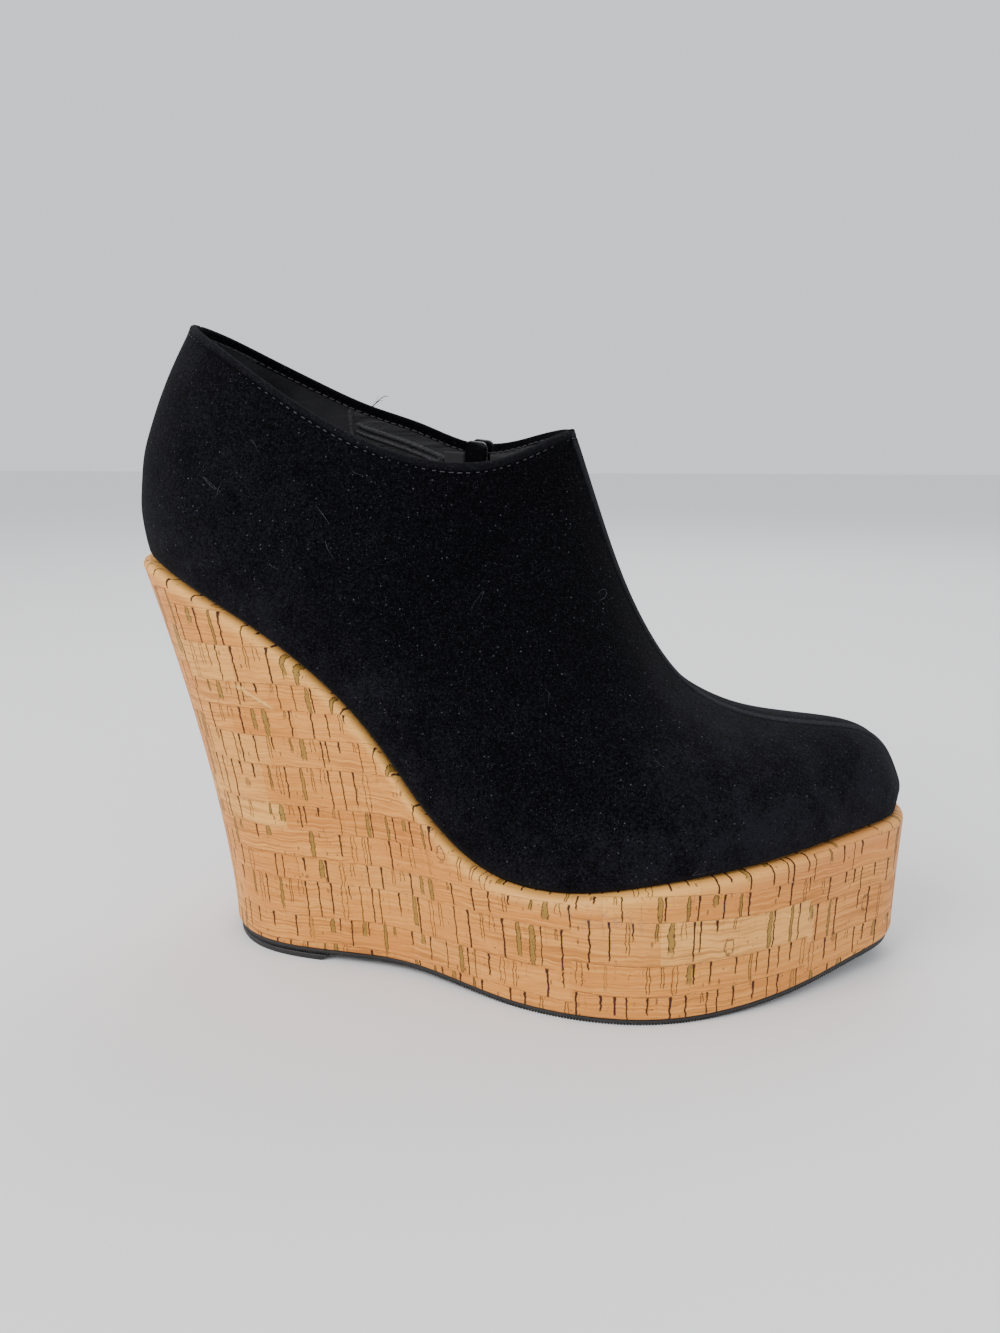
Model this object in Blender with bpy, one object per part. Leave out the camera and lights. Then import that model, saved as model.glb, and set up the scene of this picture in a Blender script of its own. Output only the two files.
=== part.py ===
"""Wedge ankle boot, right shoe, standing empty on its sole. Metres, +X to the toe, +Y medial, +Z up.

The shoe is laid out with x = 0 at the back of the wedge's top and y = 0 on the line through the
middle of the heel. At the end every piece is shifted so that the origin is the bottom centre.
"""

import functools
import math

import bmesh
import bpy
import numpy as np
from mathutils import Matrix, Vector

# Lengths and widths in plan
LENGTH = 0.2335  # back of the wedge's top to the toe of the platform
BALL_LATERAL = 0.0512  # axis to the platform's outer side at the ball
BALL_MEDIAL = 0.0423  # axis to its inner side at the ball
HEEL_WIDTH = 0.062  # wedge's top across the seat
HEEL_FOOT_WIDTH = 0.0555  # wedge's bottom across the heel
HEEL_LEAN = 0.0245  # how far the back leans out from the floor to the seat
TOE_LEAN = 0.001
TOE_OFFSET = 0.009  # toe's tip to the medial side of the axis

# Heights from the floor
SEAT_HEIGHT = 0.1205  # wedge's top at the back
PLATFORM_HEIGHT = 0.0350  # platform's top behind the ball, its lowest place
TOE_SEAT_RISE = 0.011  # platform's top at the toe over its lowest place
TOE_SPRING = 0.0075
GROUND_SHARES = (0.555, 0.700)  # shares of the length between which the sole lies on the floor
WAIST_SHARE = 0.36  # share of the length behind which the sole is up on the heel lift
OUTSOLE = 0.0016  # rubber's thickness
HEEL_LIFT = 0.0018
HEEL_LIFT_LENGTH = 0.039  # on the axis, at the floor
HEEL_BREAST_SLANT = 0.08  # breast's slope in plan: the lift is shorter on the outer side
HEEL_BREAST_LEAN = 0.0022  # its top reaches this much further to the toe
OUTSOLE_INSET = 0.0009
EDGE_ROUND = 0.0022  # rounded top edge of the cork
BOTTOM_ROUND = 0.0010
LEAN_POWER = 1.5  # the back is upright at the floor and leans more with height

# Upper
WALL = 0.0018
LEDGE = 0.0027  # cork that shows outside the upper
VAMP_HEIGHT = 0.0385  # top of the toe box over the platform's lowest place
THROAT_RISE = 0.0830  # collar's front tip over the toe box
THROAT_SETBACK = 0.1010  # toe to the collar's front tip, in plan
COLLAR_BACK = 0.0665  # top of the back seam over the seat
COLLAR_BACK_SETBACK = 0.0195  # top of the back seam in front of the wedge's back
COLLAR_WIDTH = 0.0540
COLLAR_DIP = 0.0185  # outer topline's lowest place under the line from tip to back
SEAM_RIDGE = 0.0006  # the centre-front seam stands this proud of the vamp
SEAM_WIDTH = 0.0030  # width of the ridge
SUEDE_LEAN = 16.0  # degrees that the counter bulges out over the seat

# Insole
INSOLE = 0.0024
GAP = 0.0003  # between pieces that lie on each other

# Zip in the medial quarter
ZIP_SETBACK = 0.0310  # collar's front tip to the zip's top, in plan
ZIP_SLANT = 3.5  # degrees that the zip runs back on its way down
ZIP_LENGTH = 0.078
ZIP_SLOT = 0.0090
CHAIN_WIDTH = 0.0044
CHAIN_THICKNESS = 0.0014
TAPE_WIDTH = 0.0230
TAPE = 0.0007
TAPE_GAP = 0.0006  # tape behind the wall
TAPE_END = 0.0018  # tape's end under the slot's
TAPE_TOP = 0.0015  # tape's end under the topline
SLIDER_LENGTH = 0.0095
SLIDER_WIDTH = 0.0074
SLIDER_PROUD = 0.0022  # slider's top over the topline
SLIDER_CLEARANCE = 0.0004
PLATE = 0.0011
WEB_WIDTH = 0.0022
CROWN_WIDTH = 0.0020
CROWN_LENGTH = 0.0062
CROWN_BAR = 0.0009
PIN = 0.0011
PIN_PLAY = 0.00015
PIN_DEPTH = 0.3  # share of the pin that its window leaves in front of the axis
PULL_LENGTH = 0.0170
PULL_WIDTH = 0.0056
PULL_PLAY = 0.0005  # between the pull's window and the crown's sides and end

# Samples along half of an outline, along the upper's height, and in the dense curves behind them
HALF = 60
RISES = 13
DENSE = 480
SECTION_STEPS = 4
ZIP_STEPS = 18
TAPE_STEPS = 4
SOLVE_STEPS = 8  # steps that find the place on the upper above a point of the side view
SOLVE_REACH = 1e-4  # change of place or rise over which its slopes are taken
WEDGE_SHARES = (0.0, 0.16, 0.33, 0.5, 0.67, 0.84, 1.0)  # rings up the cork's wall
EDGE_ANGLES = (35.0, 65.0, 90.0)  # rings round the cork's top edge, degrees
SOFT_EDGE = 60.0  # edges flatter than this are shaded round, degrees
HARD_EDGE = 40.0  # the same for the hard pieces
MERGE = 1e-6

# Rows from the toe's tip to the back of the heel. along: share of the outline's length from the
# back. outer and inner: shares of the ball's two half widths, but of half the heel's width where
# heel is 1, blended between.
BOTTOM_ROWS = (
    # along, outer, inner, heel
    (1.000, -0.176, 0.213, 0.0),
    (0.983, 0.072, 0.508, 0.0),
    (0.940, 0.244, 0.709, 0.0),
    (0.863, 0.520, 0.875, 0.0),
    (0.753, 0.826, 0.969, 0.0),
    (0.648, 0.986, 0.993, 0.0),
    (0.561, 1.000, 0.960, 0.0),
    (0.437, 0.871, 0.851, 0.0),
    (0.288, 0.645, 0.709, 0.0),
    (0.158, 1.101, 1.077, 1.0),
    (0.067, 0.903, 0.903, 1.0),
    (0.017, 0.505, 0.505, 1.0),
    (0.000, 0.000, 0.000, 1.0),
)
TOP_ROWS = (
    (1.000, -0.176, 0.213, 0.0),
    (0.985, 0.068, 0.515, 0.0),
    (0.947, 0.250, 0.721, 0.0),
    (0.878, 0.523, 0.887, 0.0),
    (0.780, 0.826, 0.981, 0.0),
    (0.682, 0.990, 1.000, 0.0),
    (0.601, 1.000, 0.965, 0.0),
    (0.481, 0.879, 0.875, 0.0),
    (0.332, 0.693, 0.768, 0.0),
    (0.195, 1.032, 1.000, 1.0),
    (0.092, 0.903, 0.897, 1.0),
    (0.028, 0.565, 0.565, 1.0),
    (0.000, 0.000, 0.000, 1.0),
)

# Wedge's top along the length. toe rise: share of TOE_SEAT_RISE. seat rise: share of the seat's
# height over the platform.
SEAT_ROWS = (
    # along, toe rise, seat rise
    (0.000, 0.00, 1.000),
    (0.049, 0.00, 0.966),
    (0.104, 0.00, 0.901),
    (0.168, 0.00, 0.807),
    (0.232, 0.00, 0.694),
    (0.296, 0.00, 0.553),
    (0.348, 0.00, 0.404),
    (0.399, 0.00, 0.228),
    (0.450, 0.00, 0.091),
    (0.493, 0.00, 0.025),
    (0.540, 0.00, 0.000),
    (0.595, 0.03, 0.000),
    (0.680, 0.33, 0.000),
    (0.787, 0.58, 0.000),
    (0.893, 0.80, 0.000),
    (1.000, 1.00, 0.000),
)

# Centre-front seam from the toe box's front to the collar's tip. along: share of the length
# between the tip's place and the toe. aside: share of TOE_OFFSET. vamp and throat: shares of
# VAMP_HEIGHT and THROAT_RISE. tilt: degrees that the vamp rises across the seam to the medial
# side. fold: degrees that each quarter falls back from the seam.
SEAM_ROWS = (
    # along, aside, vamp, throat, tilt, fold
    (0.983, 0.96, 0.36, 0.000, 0.0, 0.0),
    (0.966, 0.90, 0.58, 0.000, 2.0, 0.0),
    (0.924, 0.76, 0.785, 0.000, 5.0, 0.0),
    (0.865, 0.56, 0.91, 0.000, 8.0, 0.0),
    (0.765, 0.34, 0.965, 0.000, 10.0, 0.0),
    (0.615, 0.10, 1.000, 0.000, 10.0, 0.0),
    (0.470, 0.00, 1.000, 0.040, 9.0, 0.0),
    (0.345, 0.00, 1.000, 0.125, 7.0, 2.0),
    (0.245, 0.00, 1.000, 0.270, 4.0, 7.0),
    (0.150, 0.00, 1.000, 0.490, 2.0, 15.0),
    (0.070, 0.00, 1.000, 0.750, 0.0, 25.0),
    (0.000, 0.00, 1.000, 1.000, 0.0, 33.0),
)

# Topline from the front tip to the back seam. along: share of the way. wide: share of half the
# collar's width. outer and inner: how far it dips, as shares of COLLAR_DIP.
TOPLINE_ROWS = (
    # along, wide, outer dip, inner dip
    (0.000, 0.00, 0.00, 0.00),
    (0.030, 0.22, 0.14, 0.06),
    (0.090, 0.46, 0.42, 0.22),
    (0.190, 0.72, 0.80, 0.52),
    (0.310, 0.90, 0.99, 0.70),
    (0.450, 0.99, 1.00, 0.62),
    (0.600, 1.00, 0.80, 0.56),
    (0.750, 0.95, 0.47, 0.40),
    (0.880, 0.78, 0.17, 0.21),
    (0.965, 0.45, 0.03, 0.06),
    (1.000, 0.00, 0.00, 0.00),
)

# The upper's sections from the toe's tip round to the back seam. foot: share of the way along the
# feather line. top: 0 to 1 up the centre seam, 1 to 2 along the topline. rise and reach: how far
# the section keeps its direction at the feather and at the top, as shares of its height. outer
# and inner lean: shares of SUEDE_LEAN at the feather. turn: degrees that the section turns down
# from the way across the seam or along the topline. flare: shares of SUEDE_LEAN at the topline.
SECTION_ROWS = (
    # foot, top, rise, outer lean, inner lean, reach, turn, flare
    (0.000, 0.00, 0.40, 0.90, 0.90, 0.40, 0.0, 0.0),
    (0.055, 0.12, 0.40, 0.90, 0.90, 0.40, 0.0, 0.0),
    (0.125, 0.22, 0.40, 0.80, 0.80, 0.42, 0.0, 0.0),
    (0.220, 0.36, 0.40, 0.60, 0.50, 0.42, 2.0, 0.0),
    (0.320, 0.50, 0.38, 0.40, 0.20, 0.40, 8.0, 0.0),
    (0.420, 0.65, 0.36, 0.30, 0.10, 0.36, 22.0, 0.0),
    (0.520, 0.82, 0.34, 0.30, 0.10, 0.28, 40.0, 0.9),
    (0.610, 1.00, 0.32, 0.40, 0.20, 0.20, 60.0, 0.9),
    (0.700, 1.25, 0.32, 0.60, 0.50, 0.26, 74.0, 0.8),
    (0.790, 1.50, 0.32, 0.80, 0.75, 0.30, 84.0, 0.9),
    (0.890, 1.76, 0.33, 0.95, 0.95, 0.35, 90.0, 1.4),
    (1.000, 2.00, 0.35, 1.05, 1.05, 0.39, 90.0, 2.0),
)

# Slider's plates from the top. along: share of half the slider's length. wide: of half its width.
PLATE_ROWS = (
    # along, wide
    (-1.00, 0.62),
    (-0.86, 0.90),
    (-0.60, 1.00),
    (0.10, 1.00),
    (0.80, 0.80),
    (1.00, 0.72),
)
WEB_ENDS = (-0.8, 0.3)  # the same shares, of the web between the plates

# Zip pull from its rounded end on the pin to its free end, as rectangles across it. along: share
# of PULL_LENGTH, but of half the pin behind 0. wide and thick: shares of its width and of PIN.
PULL_ROWS = (
    # along, wide, thick
    (-0.95, 0.86, 0.31),
    (-0.70, 0.86, 0.71),
    (-0.30, 0.86, 0.95),
    (0.00, 0.86, 1.00),
    (0.24, 0.86, 1.00),
    (0.45, 0.95, 1.00),
    (0.86, 1.00, 1.00),
    (0.93, 0.93, 1.00),
    (0.98, 0.74, 1.00),
    (1.00, 0.50, 1.00),
)
RIDGE_FADE_SHARE = 0.06  # share of the seam over which its ridge starts and ends
TIP_PAUSE_SHARE = 0.30  # sections gather at the collar's tip, so that its corner leaves no crease below
TIP_BLEND_SHARE = 0.18  # share of the seam over which its section turns into the topline's

COLOURS = {
    # base colour, roughness, metallic
    "suede": ((0.012, 0.012, 0.016), 0.95, 0.0),
    "cork": ((0.600, 0.340, 0.170), 0.75, 0.0),
    "rubber": ((0.016, 0.016, 0.016), 0.60, 0.0),
    "lining": ((0.060, 0.060, 0.065), 0.80, 0.0),
    "tape": ((0.020, 0.020, 0.022), 0.90, 0.0),
    "zip metal": ((0.025, 0.025, 0.028), 0.25, 0.8),
}


def spline(knots, rows, at, closed=False):
    """A smooth cubic curve through rows of numbers at rising knots, natural at its ends or closed."""
    knots = np.asarray(knots, float)
    rows = np.asarray(rows, float)
    count = len(knots)
    step = np.diff(knots)
    slope = np.diff(rows, axis=0) / step[:, None]
    left = np.zeros((count, count))
    right = np.zeros_like(rows)
    for i in range(1, count - 1):
        left[i, i - 1 : i + 2] = step[i - 1], 2 * (step[i - 1] + step[i]), step[i]
        right[i] = 6 * (slope[i] - slope[i - 1])
    left[0, 0] = left[-1, -1] = 1
    if closed:
        left[0, -1] = -1
        left[-1, [0, 1, -2, -1]] = 2 * step[0], step[0], step[-1], 2 * step[-1]
        right[-1] = 6 * (slope[0] - slope[-1])
    bend = np.linalg.solve(left, right)
    at = np.atleast_1d(np.asarray(at, float))
    i = np.clip(np.searchsorted(knots, at, side="right") - 1, 0, count - 2)
    h = step[i][:, None]
    b = ((at - knots[i])[:, None]) / h
    a = 1 - b
    curved = (a**3 - a) * bend[i] + (b**3 - b) * bend[i + 1]
    return a * rows[i] + b * rows[i + 1] + curved * h**2 / 6


def lengths(points):
    """Shares of the way along a line of points, from 0 to 1."""
    steps = np.linalg.norm(np.diff(points, axis=0), axis=1)
    run = np.concatenate([[0.0], np.cumsum(steps)])
    return run / run[-1]


def along_line(line, share, values=None):
    """Points at shares of the way along a line, or values that belong to its points."""
    values = line if values is None else values
    run = lengths(line)
    return np.stack([np.interp(share, run, column) for column in values.T], axis=-1)


def unit(vectors):
    return vectors / np.linalg.norm(vectors, axis=-1, keepdims=True)


def smoothstep(share):
    share = np.clip(share, 0, 1)
    return share * share * (3 - 2 * share)


def outline(rows, back, front, heel_width):
    """A closed outline in plan with 2 * DENSE points: toe's tip, outer side, heel, inner side."""
    table = np.array(rows)
    x = back + table[:, 0] * (front - back)
    heel = table[:, 3]
    outer = -table[:, 1] * (BALL_LATERAL * (1 - heel) + heel_width / 2 * heel)
    inner = table[:, 2] * (BALL_MEDIAL * (1 - heel) + heel_width / 2 * heel)
    outer[0] = inner[0] = TOE_OFFSET
    half = np.linspace(0, len(rows) - 1, DENSE + 1)
    points = np.concatenate([np.stack([x, outer], 1), np.stack([x, inner], 1)[-2::-1]])
    steps = np.linalg.norm(np.diff(points, axis=0), axis=1)
    knots = np.concatenate([[0.0], np.cumsum(steps)])
    places = np.concatenate([half, 2 * (len(rows) - 1) - half[-2:0:-1]])
    return spline(knots, points, np.interp(places, np.arange(len(knots)), knots), closed=True)


def outwards(loop):
    """Unit plan normals of a closed loop, pointing out of it."""
    along = np.roll(loop, -1, axis=0) - np.roll(loop, 1, axis=0)
    normal = np.stack([-along[:, 1], along[:, 0]], axis=1)
    middle = loop[:, :2].mean(axis=0)
    if ((loop[:, :2] - middle) * normal).sum() < 0:
        normal = -normal
    return unit(normal)


def inset(loop, distance):
    return loop - distance * outwards(loop)


def seat_height(x):
    """Height of the wedge's top at a length."""
    table = np.array(SEAT_ROWS)
    rise = spline(table[:, 0], table[:, 1:], np.clip(np.ravel(x) / LENGTH, 0, 1))
    height = PLATFORM_HEIGHT + TOE_SEAT_RISE * rise[:, 0]
    height = height + (SEAT_HEIGHT - PLATFORM_HEIGHT) * rise[:, 1]
    return height.reshape(np.shape(x))


def ground_height(x):
    """Height of the rubber's underside: flat at the ball, sprung at the toe, raised at the heel."""
    share = np.asarray(x, float) / LENGTH
    toe = np.clip((share - GROUND_SHARES[1]) / (1 - GROUND_SHARES[1]), 0, 1)
    waist = smoothstep((GROUND_SHARES[0] - share) / (GROUND_SHARES[0] - WAIST_SHARE))
    return TOE_SPRING * toe**2 + (HEEL_LIFT + GAP) * waist


@functools.cache
def bottom_outline():
    return outline(BOTTOM_ROWS, HEEL_LEAN, LENGTH - TOE_LEAN, HEEL_FOOT_WIDTH)


@functools.cache
def top_outline():
    return outline(TOP_ROWS, 0.0, LENGTH, HEEL_WIDTH)


def sampled(loop, half=HALF):
    """Every so many points of a dense loop, half of them on each side."""
    step = DENSE // half
    return loop[::step]


def with_height(loop, height):
    return np.column_stack([loop[:, :2], height])


def block(rings):
    """Faces of a solid made of closed rings, bottom to top, whose ends are strips across."""
    count = len(rings[0])
    points = np.concatenate(rings)
    faces = []
    for k in range(len(rings) - 1):
        for i in range(count):
            j = (i + 1) % count
            low, high = k * count, (k + 1) * count
            faces.append((low + i, low + j, high + j, high + i))
    for start, up in ((0, False), ((len(rings) - 1) * count, True)):
        for i in range(count // 2):
            a, b = start + i, start + i + 1
            c, d = start + (count - i - 1), start + (count - i) % count
            face = tuple(dict.fromkeys((a, b, c, d)))
            faces.append(face[::-1] if up else face)
    return points, faces


def material(name):
    colour, roughness, metallic = COLOURS[name]
    made = bpy.data.materials.get(name) or bpy.data.materials.new(name)
    made.use_nodes = True
    shader = made.node_tree.nodes["Principled BSDF"]
    shader.inputs["Base Color"].default_value = (*colour, 1.0)
    shader.inputs["Roughness"].default_value = roughness
    shader.inputs["Metallic"].default_value = metallic
    return made


def add_object(name, points, faces, finish, smooth_angle=HARD_EDGE):
    """A named object from points and faces, its doubles merged and its faces turned out."""
    mesh = bpy.data.meshes.new(name)
    mesh.from_pydata(np.asarray(points, float).tolist(), [], faces)
    work = bmesh.new()
    work.from_mesh(mesh)
    bmesh.ops.remove_doubles(work, verts=work.verts, dist=MERGE)
    bmesh.ops.recalc_face_normals(work, faces=work.faces)
    work.to_mesh(mesh)
    work.free()
    mesh.shade_smooth()
    mesh.set_sharp_from_angle(angle=math.radians(smooth_angle))
    mesh.materials.append(material(finish))
    made = bpy.data.objects.new(name, mesh)
    bpy.context.scene.collection.objects.link(made)
    return made


def cut_or_join(target, tool, operation):
    """A Boolean on the target whose tool stays out of the part."""
    tool.hide_render = True
    tool.display_type = "WIRE"
    modifier = target.modifiers.new(tool.name, "BOOLEAN")
    modifier.operation = operation
    modifier.solver = "EXACT"
    modifier.object = tool


def build_wedge():
    """Wedge heel and platform in one block, its wall leaning out to the top's outline."""
    low = sampled(bottom_outline())
    high = sampled(top_outline())
    bottom = ground_height(low[:, 0]) + OUTSOLE + GAP
    top = seat_height(high[:, 0])
    shoulder = top - EDGE_ROUND
    rings = [with_height(inset(low, BOTTOM_ROUND), bottom)]
    for share in WEDGE_SHARES:
        start = bottom + BOTTOM_ROUND
        ring = low + (high - low) * share**LEAN_POWER
        rings.append(with_height(ring, start + (shoulder - start) * share))
    for angle in np.radians(EDGE_ANGLES):
        ring = inset(high, EDGE_ROUND * (1 - math.cos(angle)))
        flat = seat_height(ring[:, 0])
        rings.append(with_height(ring, flat - EDGE_ROUND * (1 - math.sin(angle))))
    return add_object("wedge", *block(rings), "cork")


def sheet(loop, low, high):
    """A flat or curved plate between two heights over one outline."""
    return block([with_height(loop, low), with_height(loop, high)])


def build_outsole():
    loop = sampled(inset(bottom_outline(), OUTSOLE_INSET))
    under = ground_height(loop[:, 0])
    return add_object("outsole", *sheet(loop, under, under + OUTSOLE), "rubber")


def heel_plan(length):
    """The outsole's outline behind the breast, cut off in a slanted line."""
    loop = sampled(inset(bottom_outline(), OUTSOLE_INSET))
    over = loop[:, 0] - HEEL_LEAN - length - HEEL_BREAST_SLANT * loop[:, 1]
    behind = np.nonzero(over < 0)[0]
    ends = []
    for inside, outside in ((behind[0], behind[0] - 1), (behind[-1], behind[-1] + 1)):
        share = over[inside] / (over[inside] - over[outside])
        ends.append(loop[inside] + (loop[outside] - loop[inside]) * share)
    return np.concatenate([[ends[0]], loop[behind], [ends[1]]])


def build_heel_lift():
    """Top piece under the heel, with a breast that leans to the toe."""
    plan = heel_plan(HEEL_LIFT_LENGTH)
    upper_plan = heel_plan(HEEL_LIFT_LENGTH + HEEL_BREAST_LEAN)
    if len(upper_plan) != len(plan):
        step = np.linspace(0, 1, len(plan))
        upper_plan = along_line(upper_plan, step)
        plan = along_line(plan, step)
    low = with_height(plan, np.zeros(len(plan)))
    high = with_height(upper_plan, np.full(len(plan), HEEL_LIFT))
    return add_object("heel_lift", *prism(low, high), "rubber")


def build_insole():
    """Covered board inside the upper's foot, lying along the wedge's top."""
    loop = sampled(inset(top_outline(), LEDGE + WALL + 2 * GAP))
    slope = np.gradient(seat_height(np.linspace(0, LENGTH, DENSE)), LENGTH / (DENSE - 1))
    steep = np.interp(loop[:, 0], np.linspace(0, LENGTH, DENSE), slope)
    under = seat_height(loop[:, 0]) + GAP
    return add_object("insole", *sheet(loop, under, under + INSOLE * np.hypot(1, steep)), "lining")


@functools.cache
def feather_line(side):
    """Where the upper meets the wedge, from the toe's tip to the back, with its plan normals."""
    loop = inset(top_outline(), LEDGE)
    normal = outwards(loop)
    order = -side * np.arange(DENSE + 1) % (2 * DENSE)
    loop, normal = loop[order], normal[order]
    line = with_height(loop, seat_height(loop[:, 0]) + GAP)
    return line, np.column_stack([normal, np.zeros(len(normal))])


@functools.cache
def centre_seam():
    """The seam from the toe's tip to the collar's front tip, its run and its two angles."""
    table = np.array(SEAM_ROWS)
    x = LENGTH - THROAT_SETBACK * (1 - table[:, 0])
    y = table[:, 1] * TOE_OFFSET
    z = PLATFORM_HEIGHT + table[:, 2] * VAMP_HEIGHT + table[:, 3] * THROAT_RISE
    rows = np.column_stack([x, y, z, np.radians(table[:, 4:])])
    start = np.append(feather_line(-1)[0][0], (0.0, 0.0))
    rows = np.concatenate([[start], rows])
    dense = spline(lengths(rows[:, :3]), rows, np.linspace(0, 1, DENSE + 1))
    return dense[:, :3], unit(np.gradient(dense[:, :3], axis=0)), dense[:, 3:]


@functools.cache
def topline(side):
    """The collar's edge from the front tip to the top of the back seam, with its plan normals."""
    table = np.array(TOPLINE_ROWS)
    tip = centre_seam()[0][-1]
    share = table[:, 0]
    x = tip[0] + share * (COLLAR_BACK_SETBACK - tip[0])
    z = tip[2] + share * (SEAT_HEIGHT + COLLAR_BACK - tip[2])
    halves = []
    for turn, dip in ((-1, table[:, 2]), (1, table[:, 3])):
        y = turn * table[:, 1] * COLLAR_WIDTH / 2
        halves.append(np.column_stack([x, y, z - dip * COLLAR_DIP]))
    rows = np.concatenate([halves[0], halves[1][-2::-1]])
    knots = lengths(rows)
    last = len(table) - 1
    ends = (knots[0], knots[last]) if side < 0 else (knots[-1], knots[last])
    line = spline(knots, rows, np.linspace(*ends, DENSE + 1))
    run = np.gradient(line, axis=0)
    run[-1] = 0.0, -side, 0.0
    normal = side * np.column_stack([run[:, 1], -run[:, 0], np.zeros(len(run))])
    return line, unit(normal)


def section_columns(places):
    """The columns of SECTION_ROWS at places along its rows."""
    table = np.array(SECTION_ROWS)
    columns = spline(np.arange(len(table)), table, places).T
    past = columns[1] - 1
    columns[1] = 1 + past * smoothstep(np.abs(past) / TIP_PAUSE_SHARE)
    return columns


def seam_frame(side, share):
    """At shares of the seam: the way across it on one side, down it, and out of the upper."""
    seam, along, angles = centre_seam()
    along = unit(along_line(seam, share, along))
    tilt, fold = along_line(seam, share, angles).T[:, :, None]
    out = unit(np.column_stack([along[:, 2], np.zeros(len(along)), -along[:, 0]]))
    flat = np.cos(tilt) * np.array([0.0, side, 0.0]) + side * np.sin(tilt) * out
    return np.cos(fold) * flat - np.sin(fold) * out, -along, out


def section_frames(side, places):
    """The four points that steer each section of the upper, for places along SECTION_ROWS."""
    foot, top, rise, outer, inner, reach, turn, flare = section_columns(places)
    feather, out = feather_line(side)
    foot = np.clip(foot, 0, 1)
    at_foot = along_line(feather, foot)
    out_foot = unit(along_line(feather, foot, out))
    edge, edge_out = topline(side)
    on_seam, on_edge = np.clip(top, 0, 1), np.clip(top - 1, 0, 1)
    at_top = along_line(centre_seam()[0], on_seam)
    at_top[top > 1] = along_line(edge, on_edge)[top > 1]
    across, down, _ = seam_frame(side, on_seam)
    bend = np.radians(turn)[:, None]
    from_seam = np.cos(bend) * across + np.sin(bend) * down
    spread = np.tan(np.radians(SUEDE_LEAN * flare))[:, None]
    below = unit(spread * unit(along_line(edge, on_edge, edge_out)) - np.array([0.0, 0.0, 1.0]))
    backwards = unit(along_line(edge, on_edge, np.gradient(edge, axis=0)))
    from_edge = unit(np.cos(bend) * backwards + np.sin(bend) * below)
    weight = smoothstep((top - 1 + TIP_BLEND_SHARE) / (2 * TIP_BLEND_SHARE))[:, None]
    away = unit((1 - weight) * from_seam + weight * from_edge)
    lean = np.radians(SUEDE_LEAN * (outer if side < 0 else inner))[:, None]
    up = np.cos(lean) * np.array([0.0, 0.0, 1.0]) + np.sin(lean) * out_foot
    span = np.linalg.norm(at_top - at_foot, axis=1)[:, None]
    start = at_foot + up * rise[:, None] * span
    return at_foot, start, at_top + away * reach[:, None] * span, at_top


def on_upper(side, places, rises):
    """Points of the upper's outer face, one for each pair of a place and a rise."""
    a, b, c, d = section_frames(side, places)
    v = np.asarray(rises, float)[:, None]
    return (1 - v) ** 3 * a + 3 * (1 - v) ** 2 * v * b + 3 * (1 - v) * v**2 * c + v**3 * d


def upper_grid(side, places):
    """Points [place, rise] of one side, the last rise being the raised seam or the topline."""
    _, _, c, d = section_frames(side, places)
    speed = 3 * np.linalg.norm(d - c, axis=1)
    last = 1 - np.clip(SEAM_WIDTH / 2 / np.maximum(speed, MERGE), 0, 1 / RISES)
    rises = np.column_stack([np.linspace(0, last, RISES, axis=1), np.ones(len(places))])
    count = rises.shape[1]
    grid = on_upper(side, np.repeat(places, count), rises.ravel()).reshape(-1, count, 3)
    top = section_columns(places)[1]
    ridge = SEAM_RIDGE * smoothstep(top / RIDGE_FADE_SHARE) * smoothstep((1 - top) / RIDGE_FADE_SHARE)
    grid[:, -1] += ridge[:, None] * seam_frame(side, np.clip(top, 0, 1))[2]
    return grid


def build_upper():
    """Two quarters from the feather line to the seam and topline, as one wall."""
    last = len(SECTION_ROWS) - 1
    places = np.linspace(0, last, last * SECTION_STEPS + 1)
    points, faces = [], []
    for side in (-1, 1):
        grid = upper_grid(side, places)
        count = grid.shape[1]
        start = len(points)
        points.extend(grid.reshape(-1, 3))
        for i in range(len(places) - 1):
            for a in range(start + i * count, start + (i + 1) * count - 1):
                b = a + count
                faces.append((a, b, b + 1, a + 1) if side < 0 else (a, a + 1, b + 1, b))
    made = add_object("upper", points, faces, "suede", smooth_angle=SOFT_EDGE)
    wall = made.modifiers.new("wall", "SOLIDIFY")
    wall.thickness = WALL
    wall.offset = -1.0
    wall.use_even_offset = True
    wall.use_quality_normals = True
    return made


def side_point(x, z):
    """Points of the medial quarter's outer face at places of the side view, and normals out of it."""
    edge = topline(1)[0][::-1]
    below = np.minimum(z, np.interp(x, edge[:, 0], edge[:, 2]) - MERGE)
    last = len(SECTION_ROWS) - 1
    place, rise = np.meshgrid(np.linspace(0, last, 4 * last), np.linspace(0, 1, RISES))
    place, rise = place.ravel(), rise.ravel()
    coarse = on_upper(1, place, rise)
    miss = (coarse[:, 0] - x[:, None]) ** 2 + (coarse[:, 2] - below[:, None]) ** 2
    nearest = miss.argmin(axis=1)
    place, rise = place[nearest], rise[nearest]
    for _ in range(SOLVE_STEPS):
        here = on_upper(1, place, rise)
        by_place = (on_upper(1, place + SOLVE_REACH, rise) - here) / SOLVE_REACH
        by_rise = (on_upper(1, place, rise + SOLVE_REACH) - here) / SOLVE_REACH
        off_x, off_z = x - here[:, 0], below - here[:, 2]
        scale = by_place[:, 0] * by_rise[:, 2] - by_place[:, 2] * by_rise[:, 0]
        place = place + (off_x * by_rise[:, 2] - off_z * by_rise[:, 0]) / scale
        rise = rise + (by_place[:, 0] * off_z - by_place[:, 2] * off_x) / scale
    normal = unit(np.cross(by_place, by_rise))
    normal *= np.sign(normal[:, 1:2])
    here[:, 2] += z - below
    return here, normal


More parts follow.
